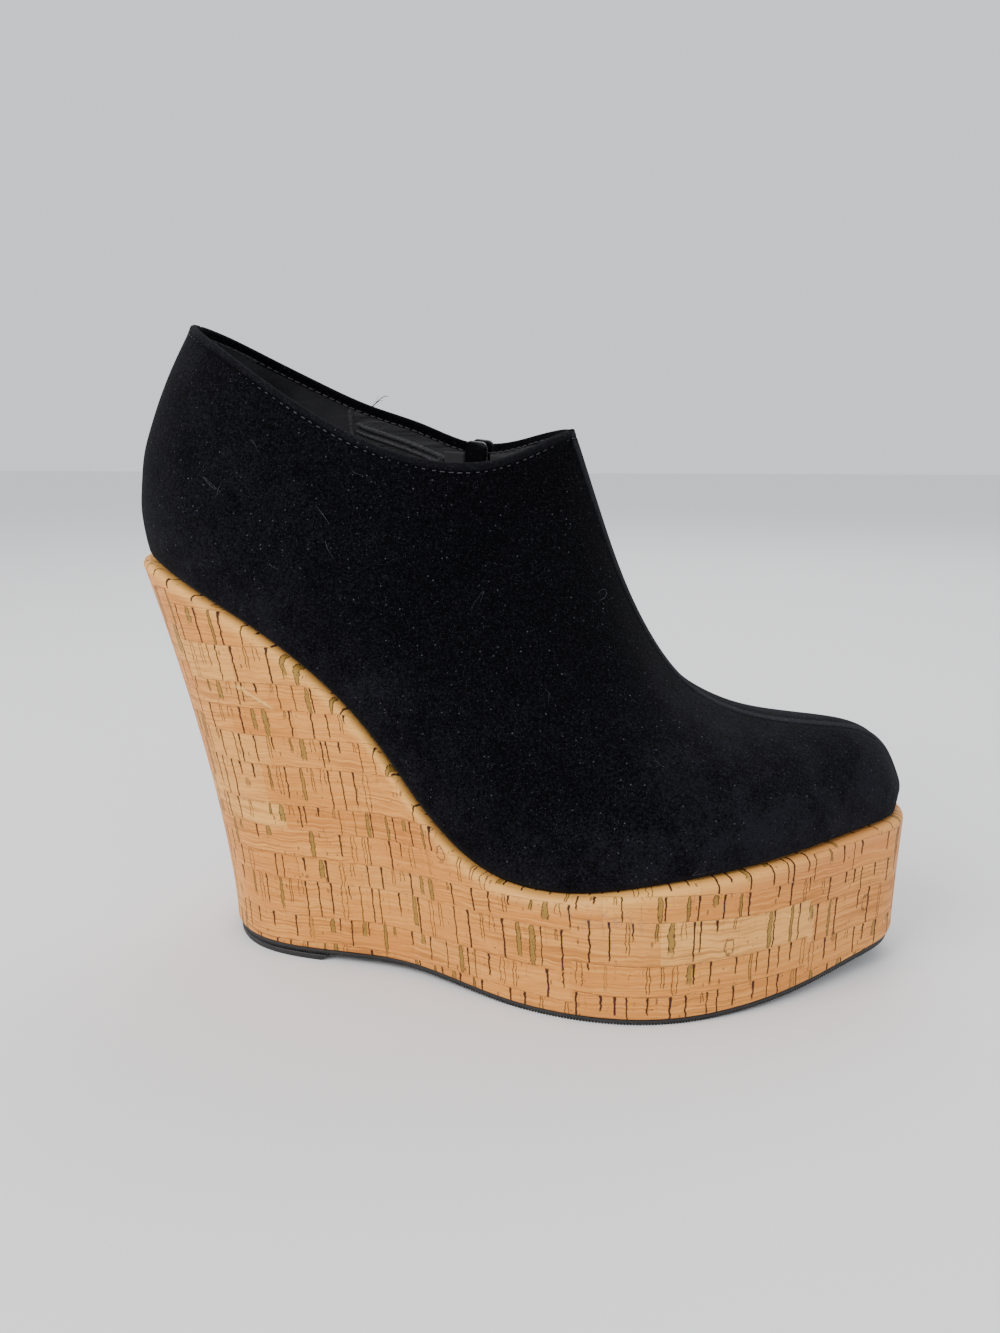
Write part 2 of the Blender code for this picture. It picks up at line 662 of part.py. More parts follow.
def zip_points(downs, asides, lift):
    """Points by the zip's own measures: down it, across it to the toe, and out of the face."""
    slant = math.radians(ZIP_SLANT)
    edge = topline(1)[0][::-1]
    start = edge[-1, 0] - ZIP_SETBACK
    top = np.interp(start, edge[:, 0], edge[:, 2])
    x = start - downs * math.sin(slant) + asides * math.cos(slant)
    z = top - downs * math.cos(slant) - asides * math.sin(slant)
    point, normal = side_point(x, z)
    return point + normal * lift


def zip_strip(start, end, width, low, high, steps=1):
    """Points and faces of a strip that follows the upper's face, between two lifts from it."""
    across = np.linspace(-width / 2, width / 2, steps + 1)
    asides = np.concatenate([across, across[::-1]])
    lifts = np.repeat([low, high], steps + 1)[:, None]
    rings = [
        zip_points(np.full(len(asides), down), asides, lifts)
        for down in np.linspace(start, end, ZIP_STEPS + 1)
    ]
    return loft(rings)


def loft(rings):
    """Points and faces of a solid through rings, whose ends are closed by strips across them."""
    count = len(rings[0])
    points = np.concatenate(rings)
    faces = []
    for k in range(0, len(points) - count, count):
        for i in range(count):
            j = (i + 1) % count
            faces.append((k + i, k + j, k + count + j, k + count + i))
    for k in (0, len(points) - count):
        for i in range(count // 2 - 1):
            faces.append((k + i, k + i + 1, k + count - i - 2, k + count - i - 1))
    return points, faces


@functools.cache
def slider_frame():
    """The slider's middle on the face, and unit vectors down the zip, across it and outwards."""
    middle = SLIDER_LENGTH / 2 - SLIDER_PROUD
    downs = np.array([0.0, SLIDER_LENGTH, middle, middle])
    asides = np.array([0.0, 0.0, -SLIDER_WIDTH / 2, SLIDER_WIDTH / 2])
    top, foot, back, front = zip_points(downs, asides, 0.0)
    down = unit(foot - top)
    out = unit(np.cross(front - back, down))
    return (back + front) / 2, down, np.cross(down, out), out


def in_slider(along, across, out):
    """World points from the slider's own measures."""
    middle, down, aside, outward = slider_frame()
    steps = np.stack(np.broadcast_arrays(along, across, out), axis=-1)
    return middle + steps @ np.stack([down, aside, outward])


def bar(rows):
    """A solid by the slider, lofted through rectangles: along, half width, low and high."""
    return loft([
        in_slider(along, np.array([-wide, wide, wide, -wide]), np.array([low, low, high, high]))
        for along, wide, low, high in rows
    ])


def crown_points(low, inner):
    """The arch over the pin, as a prism across the slider."""
    half = CROWN_LENGTH / 2
    top = inner + CROWN_BAR
    arch = [(-half, low), (-half, inner), (-half + CROWN_BAR, top), (half - CROWN_BAR, top)]
    arch += [(half, inner), (half, low), (half - CROWN_BAR, low), (half - CROWN_BAR, inner)]
    arch += [(-half + CROWN_BAR, inner), (-half + CROWN_BAR, low)]
    along, out = np.array(arch).T
    sides = [in_slider(along, across, out) for across in (-CROWN_WIDTH / 2, CROWN_WIDTH / 2)]
    return prism(*sides)


def prism(low, high):
    """Points and faces of a solid between two like polygons."""
    count = len(low)
    faces = [tuple(range(count))[::-1], tuple(range(count, 2 * count))]
    for i in range(count):
        j = (i + 1) % count
        faces.append((i, j, count + j, count + i))
    return np.concatenate([low, high]), faces


def build_tape():
    """The tape behind the slot, notched for the slider, and the chain of closed teeth on it."""
    slot = zip_strip(-SLIDER_LENGTH, ZIP_LENGTH, ZIP_SLOT, -2 * WALL, 2 * WALL, 2)
    cut_or_join(bpy.data.objects["upper"], add_object("slot", *slot, "tape"), "DIFFERENCE")
    back = -WALL - TAPE_GAP
    tape = zip_strip(TAPE_TOP, ZIP_LENGTH + TAPE_END, TAPE_WIDTH, back - TAPE, back, TAPE_STEPS)
    tape = add_object("zip_tape", *tape, "tape")
    end = SLIDER_LENGTH / 2 + SLIDER_CLEARANCE
    room = SLIDER_WIDTH / 2 + SLIDER_CLEARANCE
    notch = bar([(along, room, back - 2 * PLATE, 0.0) for along in (-SLIDER_LENGTH, end)])
    cut_or_join(tape, add_object("notch", *notch, "tape"), "DIFFERENCE")
    top = SLIDER_LENGTH - SLIDER_PROUD + GAP
    low = back + GAP
    chain = zip_strip(top, ZIP_LENGTH - GAP, CHAIN_WIDTH, low, low + CHAIN_THICKNESS)
    add_object("zip_chain", *chain, "zip metal")


def build_slider():
    """Two plates joined by a web, and the crown that holds the pull."""
    rear = -WALL - TAPE_GAP - TAPE
    plates = []
    for low in (GAP, rear - PLATE):
        rows = [
            (along * SLIDER_LENGTH / 2, wide * SLIDER_WIDTH / 2, low, low + PLATE)
            for along, wide in PLATE_ROWS
        ]
        plates.append(bar(rows))
    middle = GAP + PLATE / 2
    web = [
        (end * SLIDER_LENGTH / 2, WEB_WIDTH / 2, rear - PLATE / 2, middle) for end in WEB_ENDS
    ]
    slider = add_object("zip_slider", *plates[0], "zip metal")
    parts = {
        "web": bar(web), "crown": crown_points(middle, GAP + PLATE + PIN + 2 * PIN_PLAY),
        "rear_plate": plates[1],
    }
    for name, solid in parts.items():
        cut_or_join(slider, add_object(name, *solid, "zip metal"), "UNION")


def build_pull():
    """The tab whose end bar is the pin under the crown, with its origin on the pin's axis."""
    axis = GAP + PLATE + PIN / 2 + PIN_PLAY
    rows = []
    for along, wide, thick in PULL_ROWS:
        place = along * (PIN / 2 if along < 0 else PULL_LENGTH)
        reach = thick * PIN / 2
        rows.append((place, wide * PULL_WIDTH / 2, axis - reach, axis + reach))
    pull = add_object("zip_pull", *bar(rows), "zip metal")
    wide = CROWN_WIDTH / 2 + PULL_PLAY
    ends = (PIN * PIN_DEPTH, CROWN_LENGTH / 2 + PULL_PLAY)
    window = bar([(end, wide, axis - PIN, axis + PIN) for end in ends])
    cut_or_join(pull, add_object("pull_window", *window, "zip metal"), "DIFFERENCE")
    pivot = Vector(in_slider(0.0, 0.0, axis))
    pull.data.transform(Matrix.Translation(-pivot))
    pull.location = pivot


for old in list(bpy.data.objects):
    bpy.data.objects.remove(old, do_unlink=True)
build_wedge()
build_outsole()
build_heel_lift()
build_insole()
build_upper()
build_tape()
build_slider()
build_pull()
for piece in bpy.data.objects:
    piece.location.x -= LENGTH / 2
    piece.location.y -= (BALL_MEDIAL - BALL_LATERAL) / 2
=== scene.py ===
"""Wedge ankle boot, right shoe: suede upper, cork-covered wedge, rubber sole and medial zip.

Surfaces are laid out like the solids, with x = 0 at the back of the wedge's top, and each mesh
is shifted to the frame as it is made.
"""

import functools
import math

import bmesh
import bpy
import numpy as np
from mathutils import Euler, Matrix, Vector, kdtree
from mathutils.bvhtree import BVHTree


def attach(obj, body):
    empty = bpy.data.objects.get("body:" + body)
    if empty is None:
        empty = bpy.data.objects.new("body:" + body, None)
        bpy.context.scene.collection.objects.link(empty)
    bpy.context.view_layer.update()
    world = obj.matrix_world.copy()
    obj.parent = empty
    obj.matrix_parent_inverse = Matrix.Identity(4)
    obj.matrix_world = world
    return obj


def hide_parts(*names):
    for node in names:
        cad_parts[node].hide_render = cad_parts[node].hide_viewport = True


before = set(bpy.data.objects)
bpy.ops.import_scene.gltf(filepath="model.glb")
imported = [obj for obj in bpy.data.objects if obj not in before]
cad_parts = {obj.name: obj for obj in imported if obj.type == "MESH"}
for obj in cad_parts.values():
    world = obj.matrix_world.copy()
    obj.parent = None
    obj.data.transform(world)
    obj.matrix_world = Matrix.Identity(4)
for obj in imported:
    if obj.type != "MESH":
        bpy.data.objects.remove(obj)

bl_info = {
    "name": "Wedge Ankle Boot",
    "version": (1, 0, 0),
    "blender": (4, 5, 0),
    "location": "View3D > Sidebar > Boot",
    "description": "Builds a right wedge ankle boot on its packed solids, with a studio stage",
    "category": "Object",
}

# Lengths and widths in plan
LENGTH = 0.2335  # back of the wedge's top to the toe of the platform
BALL_LATERAL = 0.0512  # axis to the platform's outer side at the ball
BALL_MEDIAL = 0.0423  # axis to its inner side at the ball
HEEL_WIDTH = 0.062  # wedge's top across the seat
HEEL_FOOT_WIDTH = 0.0555  # wedge's bottom across the heel
HEEL_LEAN = 0.0245  # how far the back leans out from the floor to the seat
TOE_LEAN = 0.001
TOE_OFFSET = 0.009  # toe's tip to the medial side of the axis

# Heights from the floor
SEAT_HEIGHT = 0.1205  # wedge's top at the back
PLATFORM_HEIGHT = 0.0350  # platform's top behind the ball, its lowest place
TOE_SEAT_RISE = 0.011  # platform's top at the toe over its lowest place
TOE_SPRING = 0.0075
GROUND_SHARES = (0.555, 0.700)  # shares of the length between which the sole lies on the floor
WAIST_SHARE = 0.36  # share of the length behind which the sole is up on the heel lift
OUTSOLE = 0.0016  # rubber's thickness
HEEL_LIFT = 0.0018
OUTSOLE_INSET = 0.0009
EDGE_ROUND = 0.0022  # rounded top edge of the cork
BOTTOM_ROUND = 0.0010
LEAN_POWER = 1.5  # the back is upright at the floor and leans more with height

# Upper
WALL = 0.0018
LEDGE = 0.0027  # cork that shows outside the upper
VAMP_HEIGHT = 0.0385  # top of the toe box over the platform's lowest place
THROAT_RISE = 0.0830  # collar's front tip over the toe box
THROAT_SETBACK = 0.1010  # toe to the collar's front tip, in plan
COLLAR_BACK = 0.0665  # top of the back seam over the seat
COLLAR_BACK_SETBACK = 0.0195  # top of the back seam in front of the wedge's back
COLLAR_WIDTH = 0.0540
COLLAR_DIP = 0.0185  # outer topline's lowest place under the line from tip to back
SUEDE_LEAN = 16.0  # degrees that the counter bulges out over the seat

# Insole
INSOLE = 0.0024
GAP = 0.0003  # between pieces that lie on each other

# Zip in the medial quarter
ZIP_SETBACK = 0.0310  # collar's front tip to the zip's top, in plan
ZIP_SLANT = 3.5  # degrees that the zip runs back on its way down
ZIP_LENGTH = 0.078
ZIP_SLOT = 0.0090
CHAIN_WIDTH = 0.0044
CHAIN_THICKNESS = 0.0014
TAPE_WIDTH = 0.0230
TAPE = 0.0007
TAPE_GAP = 0.0006  # tape behind the wall
TAPE_END = 0.0018  # tape's end under the slot's
TAPE_TOP = 0.0015  # tape's end under the topline
SLIDER_LENGTH = 0.0095
SLIDER_WIDTH = 0.0074
SLIDER_PROUD = 0.0022  # slider's top over the topline
SLIDER_CLEARANCE = 0.0004

# Samples up the upper, along half of an outline and down the zip
RISES = 13
DENSE = 480
ZIP_STEPS = 18
SOLVE_STEPS = 8  # steps that find the place on the upper above a point of the side view
SOLVE_REACH = 1e-4  # change of place or rise over which its slopes are taken
MERGE = 1e-6

# Rows from the toe's tip to the back of the heel. along: share of the outline's length from the
# back. outer and inner: shares of the ball's two half widths, but of half the heel's width where
# heel is 1, blended between.
BOTTOM_ROWS = (
    # along, outer, inner, heel
    (1.000, -0.176, 0.213, 0.0),
    (0.983, 0.072, 0.508, 0.0),
    (0.940, 0.244, 0.709, 0.0),
    (0.863, 0.520, 0.875, 0.0),
    (0.753, 0.826, 0.969, 0.0),
    (0.648, 0.986, 0.993, 0.0),
    (0.561, 1.000, 0.960, 0.0),
    (0.437, 0.871, 0.851, 0.0),
    (0.288, 0.645, 0.709, 0.0),
    (0.158, 1.101, 1.077, 1.0),
    (0.067, 0.903, 0.903, 1.0),
    (0.017, 0.505, 0.505, 1.0),
    (0.000, 0.000, 0.000, 1.0),
)
TOP_ROWS = (
    (1.000, -0.176, 0.213, 0.0),
    (0.985, 0.068, 0.515, 0.0),
    (0.947, 0.250, 0.721, 0.0),
    (0.878, 0.523, 0.887, 0.0),
    (0.780, 0.826, 0.981, 0.0),
    (0.682, 0.990, 1.000, 0.0),
    (0.601, 1.000, 0.965, 0.0),
    (0.481, 0.879, 0.875, 0.0),
    (0.332, 0.693, 0.768, 0.0),
    (0.195, 1.032, 1.000, 1.0),
    (0.092, 0.903, 0.897, 1.0),
    (0.028, 0.565, 0.565, 1.0),
    (0.000, 0.000, 0.000, 1.0),
)

# Wedge's top along the length. toe rise: share of TOE_SEAT_RISE. seat rise: share of the seat's
# height over the platform.
SEAT_ROWS = (
    # along, toe rise, seat rise
    (0.000, 0.00, 1.000),
    (0.049, 0.00, 0.966),
    (0.104, 0.00, 0.901),
    (0.168, 0.00, 0.807),
    (0.232, 0.00, 0.694),
    (0.296, 0.00, 0.553),
    (0.348, 0.00, 0.404),
    (0.399, 0.00, 0.228),
    (0.450, 0.00, 0.091),
    (0.493, 0.00, 0.025),
    (0.540, 0.00, 0.000),
    (0.595, 0.03, 0.000),
    (0.680, 0.33, 0.000),
    (0.787, 0.58, 0.000),
    (0.893, 0.80, 0.000),
    (1.000, 1.00, 0.000),
)

# Centre-front seam from the toe box's front to the collar's tip. along: share of the length
# between the tip's place and the toe. aside: share of TOE_OFFSET. vamp and throat: shares of
# VAMP_HEIGHT and THROAT_RISE. tilt: degrees that the vamp rises across the seam to the medial
# side. fold: degrees that each quarter falls back from the seam.
SEAM_ROWS = (
    # along, aside, vamp, throat, tilt, fold
    (0.983, 0.96, 0.36, 0.000, 0.0, 0.0),
    (0.966, 0.90, 0.58, 0.000, 2.0, 0.0),
    (0.924, 0.76, 0.785, 0.000, 5.0, 0.0),
    (0.865, 0.56, 0.91, 0.000, 8.0, 0.0),
    (0.765, 0.34, 0.965, 0.000, 10.0, 0.0),
    (0.615, 0.10, 1.000, 0.000, 10.0, 0.0),
    (0.470, 0.00, 1.000, 0.040, 9.0, 0.0),
    (0.345, 0.00, 1.000, 0.125, 7.0, 2.0),
    (0.245, 0.00, 1.000, 0.270, 4.0, 7.0),
    (0.150, 0.00, 1.000, 0.490, 2.0, 15.0),
    (0.070, 0.00, 1.000, 0.750, 0.0, 25.0),
    (0.000, 0.00, 1.000, 1.000, 0.0, 33.0),
)

# Topline from the front tip to the back seam. along: share of the way. wide: share of half the
# collar's width. outer and inner: how far it dips, as shares of COLLAR_DIP.
TOPLINE_ROWS = (
    # along, wide, outer dip, inner dip
    (0.000, 0.00, 0.00, 0.00),
    (0.030, 0.22, 0.14, 0.06),
    (0.090, 0.46, 0.42, 0.22),
    (0.190, 0.72, 0.80, 0.52),
    (0.310, 0.90, 0.99, 0.70),
    (0.450, 0.99, 1.00, 0.62),
    (0.600, 1.00, 0.80, 0.56),
    (0.750, 0.95, 0.47, 0.40),
    (0.880, 0.78, 0.17, 0.21),
    (0.965, 0.45, 0.03, 0.06),
    (1.000, 0.00, 0.00, 0.00),
)

# The upper's sections from the toe's tip round to the back seam. foot: share of the way along the
# feather line. top: 0 to 1 up the centre seam, 1 to 2 along the topline. rise and reach: how far
# the section keeps its direction at the feather and at the top, as shares of its height. outer
# and inner lean: shares of SUEDE_LEAN at the feather. turn: degrees that the section turns down
# from the way across the seam or along the topline. flare: shares of SUEDE_LEAN at the topline.
SECTION_ROWS = (
    # foot, top, rise, outer lean, inner lean, reach, turn, flare
    (0.000, 0.00, 0.40, 0.90, 0.90, 0.40, 0.0, 0.0),
    (0.055, 0.12, 0.40, 0.90, 0.90, 0.40, 0.0, 0.0),
    (0.125, 0.22, 0.40, 0.80, 0.80, 0.42, 0.0, 0.0),
    (0.220, 0.36, 0.40, 0.60, 0.50, 0.42, 2.0, 0.0),
    (0.320, 0.50, 0.38, 0.40, 0.20, 0.40, 8.0, 0.0),
    (0.420, 0.65, 0.36, 0.30, 0.10, 0.36, 22.0, 0.0),
    (0.520, 0.82, 0.34, 0.30, 0.10, 0.28, 40.0, 0.9),
    (0.610, 1.00, 0.32, 0.40, 0.20, 0.20, 60.0, 0.9),
    (0.700, 1.25, 0.32, 0.60, 0.50, 0.26, 74.0, 0.8),
    (0.790, 1.50, 0.32, 0.80, 0.75, 0.30, 84.0, 0.9),
    (0.890, 1.76, 0.33, 0.95, 0.95, 0.35, 90.0, 1.4),
    (1.000, 2.00, 0.35, 1.05, 1.05, 0.39, 90.0, 2.0),
)

TIP_PAUSE_SHARE = 0.30  # sections gather at the collar's tip, so that its corner leaves no crease below
TIP_BLEND_SHARE = 0.18  # share of the seam over which its section turns into the topline's


def spline(knots, rows, at, closed=False):
    """A smooth cubic curve through rows of numbers at rising knots, natural at its ends or closed."""
    knots = np.asarray(knots, float)
    rows = np.asarray(rows, float)
    count = len(knots)
    step = np.diff(knots)
    slope = np.diff(rows, axis=0) / step[:, None]
    left = np.zeros((count, count))
    right = np.zeros_like(rows)
    for i in range(1, count - 1):
        left[i, i - 1 : i + 2] = step[i - 1], 2 * (step[i - 1] + step[i]), step[i]
        right[i] = 6 * (slope[i] - slope[i - 1])
    left[0, 0] = left[-1, -1] = 1
    if closed:
        left[0, -1] = -1
        left[-1, [0, 1, -2, -1]] = 2 * step[0], step[0], step[-1], 2 * step[-1]
        right[-1] = 6 * (slope[0] - slope[-1])
    bend = np.linalg.solve(left, right)
    at = np.atleast_1d(np.asarray(at, float))
    i = np.clip(np.searchsorted(knots, at, side="right") - 1, 0, count - 2)
    h = step[i][:, None]
    b = ((at - knots[i])[:, None]) / h
    a = 1 - b
    curved = (a**3 - a) * bend[i] + (b**3 - b) * bend[i + 1]
    return a * rows[i] + b * rows[i + 1] + curved * h**2 / 6


def lengths(points):
    """Shares of the way along a line of points, from 0 to 1."""
    steps = np.linalg.norm(np.diff(points, axis=0), axis=1)
    run = np.concatenate([[0.0], np.cumsum(steps)])
    return run / run[-1]


def along_line(line, share, values=None):
    """Points at shares of the way along a line, or values that belong to its points."""
    values = line if values is None else values
    run = lengths(line)
    return np.stack([np.interp(share, run, column) for column in values.T], axis=-1)


def unit(vectors):
    return vectors / np.linalg.norm(vectors, axis=-1, keepdims=True)


def smoothstep(share):
    share = np.clip(share, 0, 1)
    return share * share * (3 - 2 * share)


def outline(rows, back, front, heel_width):
    """A closed outline in plan with 2 * DENSE points: toe's tip, outer side, heel, inner side."""
    table = np.array(rows)
    x = back + table[:, 0] * (front - back)
    heel = table[:, 3]
    outer = -table[:, 1] * (BALL_LATERAL * (1 - heel) + heel_width / 2 * heel)
    inner = table[:, 2] * (BALL_MEDIAL * (1 - heel) + heel_width / 2 * heel)
    outer[0] = inner[0] = TOE_OFFSET
    half = np.linspace(0, len(rows) - 1, DENSE + 1)
    points = np.concatenate([np.stack([x, outer], 1), np.stack([x, inner], 1)[-2::-1]])
    steps = np.linalg.norm(np.diff(points, axis=0), axis=1)
    knots = np.concatenate([[0.0], np.cumsum(steps)])
    places = np.concatenate([half, 2 * (len(rows) - 1) - half[-2:0:-1]])
    return spline(knots, points, np.interp(places, np.arange(len(knots)), knots), closed=True)


def outwards(loop):
    """Unit plan normals of a closed loop, pointing out of it."""
    along = np.roll(loop, -1, axis=0) - np.roll(loop, 1, axis=0)
    normal = np.stack([-along[:, 1], along[:, 0]], axis=1)
    middle = loop[:, :2].mean(axis=0)
    if ((loop[:, :2] - middle) * normal).sum() < 0:
        normal = -normal
    return unit(normal)


def inset(loop, distance):
    return loop - distance * outwards(loop)


def seat_height(x):
    """Height of the wedge's top at a length."""
    table = np.array(SEAT_ROWS)
    rise = spline(table[:, 0], table[:, 1:], np.clip(np.ravel(x) / LENGTH, 0, 1))
    height = PLATFORM_HEIGHT + TOE_SEAT_RISE * rise[:, 0]
    height = height + (SEAT_HEIGHT - PLATFORM_HEIGHT) * rise[:, 1]
    return height.reshape(np.shape(x))


def ground_height(x):
    """Height of the rubber's underside: flat at the ball, sprung at the toe, raised at the heel."""
    share = np.asarray(x, float) / LENGTH
    toe = np.clip((share - GROUND_SHARES[1]) / (1 - GROUND_SHARES[1]), 0, 1)
    waist = smoothstep((GROUND_SHARES[0] - share) / (GROUND_SHARES[0] - WAIST_SHARE))
    return TOE_SPRING * toe**2 + (HEEL_LIFT + GAP) * waist


@functools.cache
def bottom_outline():
    return outline(BOTTOM_ROWS, HEEL_LEAN, LENGTH - TOE_LEAN, HEEL_FOOT_WIDTH)


@functools.cache
def top_outline():
    return outline(TOP_ROWS, 0.0, LENGTH, HEEL_WIDTH)


def with_height(loop, height):
    return np.column_stack([loop[:, :2], height])


def ringed(rings):
    """Points of closed rings one after another, and the faces between them."""
    count = len(rings[0])
    faces = []
    for low in range(0, count * (len(rings) - 1), count):
        for i in range(count):
            j = (i + 1) % count
            faces.append((low + i, low + j, low + count + j, low + count + i))
    return np.concatenate(rings), faces


def block(rings):
    """A solid made of outlines, bottom to top, whose ends are strips from side to side."""
    points, faces = ringed(rings)
    count = len(rings[0])
    for start, turn in ((0, 1), (len(points) - count, -1)):
        for i in range(count // 2):
            across = start + count - i - 1, start + (count - i) % count
            faces.append(tuple(dict.fromkeys((start + i, start + i + 1, *across)))[::turn])
    return points, faces


@functools.cache
def feather_line(side):
    """Where the upper meets the wedge, from the toe's tip to the back, with its plan normals."""
    loop = inset(top_outline(), LEDGE)
    normal = outwards(loop)
    order = -side * np.arange(DENSE + 1) % (2 * DENSE)
    loop, normal = loop[order], normal[order]
    line = with_height(loop, seat_height(loop[:, 0]) + GAP)
    return line, np.column_stack([normal, np.zeros(len(normal))])


@functools.cache
def centre_seam():
    """The seam from the toe's tip to the collar's front tip, its run and its two angles."""
    table = np.array(SEAM_ROWS)
    x = LENGTH - THROAT_SETBACK * (1 - table[:, 0])
    y = table[:, 1] * TOE_OFFSET
    z = PLATFORM_HEIGHT + table[:, 2] * VAMP_HEIGHT + table[:, 3] * THROAT_RISE
    rows = np.column_stack([x, y, z, np.radians(table[:, 4:])])
    start = np.append(feather_line(-1)[0][0], (0.0, 0.0))
    rows = np.concatenate([[start], rows])
    dense = spline(lengths(rows[:, :3]), rows, np.linspace(0, 1, DENSE + 1))
    return dense[:, :3], unit(np.gradient(dense[:, :3], axis=0)), dense[:, 3:]


@functools.cache
def topline(side):
    """The collar's edge from the front tip to the top of the back seam, with its plan normals."""
    table = np.array(TOPLINE_ROWS)
    tip = centre_seam()[0][-1]
    share = table[:, 0]
    x = tip[0] + share * (COLLAR_BACK_SETBACK - tip[0])
    z = tip[2] + share * (SEAT_HEIGHT + COLLAR_BACK - tip[2])
    halves = []
    for turn, dip in ((-1, table[:, 2]), (1, table[:, 3])):
        y = turn * table[:, 1] * COLLAR_WIDTH / 2
        halves.append(np.column_stack([x, y, z - dip * COLLAR_DIP]))
    rows = np.concatenate([halves[0], halves[1][-2::-1]])
    knots = lengths(rows)
    last = len(table) - 1
    ends = (knots[0], knots[last]) if side < 0 else (knots[-1], knots[last])
    line = spline(knots, rows, np.linspace(*ends, DENSE + 1))
    run = np.gradient(line, axis=0)
    run[-1] = 0.0, -side, 0.0
    normal = side * np.column_stack([run[:, 1], -run[:, 0], np.zeros(len(run))])
    return line, unit(normal)


def section_columns(places):
    """The columns of SECTION_ROWS at places along its rows."""
    table = np.array(SECTION_ROWS)
    columns = spline(np.arange(len(table)), table, places).T
    past = columns[1] - 1
    columns[1] = 1 + past * smoothstep(np.abs(past) / TIP_PAUSE_SHARE)
    return columns


def seam_frame(side, share):
    """At shares of the seam: the way across it on one side, down it, and out of the upper."""
    seam, along, angles = centre_seam()
    along = unit(along_line(seam, share, along))
    tilt, fold = along_line(seam, share, angles).T[:, :, None]
    out = unit(np.column_stack([along[:, 2], np.zeros(len(along)), -along[:, 0]]))
    flat = np.cos(tilt) * np.array([0.0, side, 0.0]) + side * np.sin(tilt) * out
    return np.cos(fold) * flat - np.sin(fold) * out, -along, out


def section_frames(side, places):
    """The four points that steer each section of the upper, for places along SECTION_ROWS."""
    foot, top, rise, outer, inner, reach, turn, flare = section_columns(places)
    feather, out = feather_line(side)
    foot = np.clip(foot, 0, 1)
    at_foot = along_line(feather, foot)
    out_foot = unit(along_line(feather, foot, out))
    edge, edge_out = topline(side)
    on_seam, on_edge = np.clip(top, 0, 1), np.clip(top - 1, 0, 1)
    at_top = along_line(centre_seam()[0], on_seam)
    at_top[top > 1] = along_line(edge, on_edge)[top > 1]
    across, down, _ = seam_frame(side, on_seam)
    bend = np.radians(turn)[:, None]
    from_seam = np.cos(bend) * across + np.sin(bend) * down
    spread = np.tan(np.radians(SUEDE_LEAN * flare))[:, None]
    below = unit(spread * unit(along_line(edge, on_edge, edge_out)) - np.array([0.0, 0.0, 1.0]))
    backwards = unit(along_line(edge, on_edge, np.gradient(edge, axis=0)))
    from_edge = unit(np.cos(bend) * backwards + np.sin(bend) * below)
    weight = smoothstep((top - 1 + TIP_BLEND_SHARE) / (2 * TIP_BLEND_SHARE))[:, None]
    away = unit((1 - weight) * from_seam + weight * from_edge)
    lean = np.radians(SUEDE_LEAN * (outer if side < 0 else inner))[:, None]
    up = np.cos(lean) * np.array([0.0, 0.0, 1.0]) + np.sin(lean) * out_foot
    span = np.linalg.norm(at_top - at_foot, axis=1)[:, None]
    start = at_foot + up * rise[:, None] * span
    return at_foot, start, at_top + away * reach[:, None] * span, at_top


def on_upper(side, places, rises):
    """Points of the upper's outer face, one for each pair of a place and a rise."""
    a, b, c, d = section_frames(side, places)
    v = np.asarray(rises, float)[:, None]
    return (1 - v) ** 3 * a + 3 * (1 - v) ** 2 * v * b + 3 * (1 - v) * v**2 * c + v**3 * d


def side_point(x, z):
    """Points of the medial quarter's outer face at places of the side view, and normals out of it."""
    edge = topline(1)[0][::-1]
    below = np.minimum(z, np.interp(x, edge[:, 0], edge[:, 2]) - MERGE)
    last = len(SECTION_ROWS) - 1
    place, rise = np.meshgrid(np.linspace(0, last, 4 * last), np.linspace(0, 1, RISES))
    place, rise = place.ravel(), rise.ravel()
    coarse = on_upper(1, place, rise)
    miss = (coarse[:, 0] - x[:, None]) ** 2 + (coarse[:, 2] - below[:, None]) ** 2
    nearest = miss.argmin(axis=1)
    place, rise = place[nearest], rise[nearest]
    for _ in range(SOLVE_STEPS):
        here = on_upper(1, place, rise)
        by_place = (on_upper(1, place + SOLVE_REACH, rise) - here) / SOLVE_REACH
        by_rise = (on_upper(1, place, rise + SOLVE_REACH) - here) / SOLVE_REACH
        off_x, off_z = x - here[:, 0], below - here[:, 2]
        scale = by_place[:, 0] * by_rise[:, 2] - by_place[:, 2] * by_rise[:, 0]
        place = place + (off_x * by_rise[:, 2] - off_z * by_rise[:, 0]) / scale
        rise = rise + (by_place[:, 0] * off_z - by_place[:, 2] * off_x) / scale
    normal = unit(np.cross(by_place, by_rise))
    normal *= np.sign(normal[:, 1:2])
    here[:, 2] += z - below
    return here, normal


def zip_points(downs, asides, lift):
    """Points by the zip's own measures: down it, across it to the toe, and out of the face."""
    slant = math.radians(ZIP_SLANT)
    edge = topline(1)[0][::-1]
    start = edge[-1, 0] - ZIP_SETBACK
    top = np.interp(start, edge[:, 0], edge[:, 2])
    x = start - downs * math.sin(slant) + asides * math.cos(slant)
    z = top - downs * math.cos(slant) - asides * math.sin(slant)
    point, normal = side_point(x, z)
    return point + normal * lift


def zip_strip(start, end, width, low, high, steps=1):
    """Points and faces of a strip that follows the upper's face, between two lifts from it."""
    across = np.linspace(-width / 2, width / 2, steps + 1)
    asides = np.concatenate([across, across[::-1]])
    lifts = np.repeat([low, high], steps + 1)[:, None]
    rings = [
        zip_points(np.full(len(asides), down), asides, lifts)
        for down in np.linspace(start, end, ZIP_STEPS + 1)
    ]
    return loft(rings)


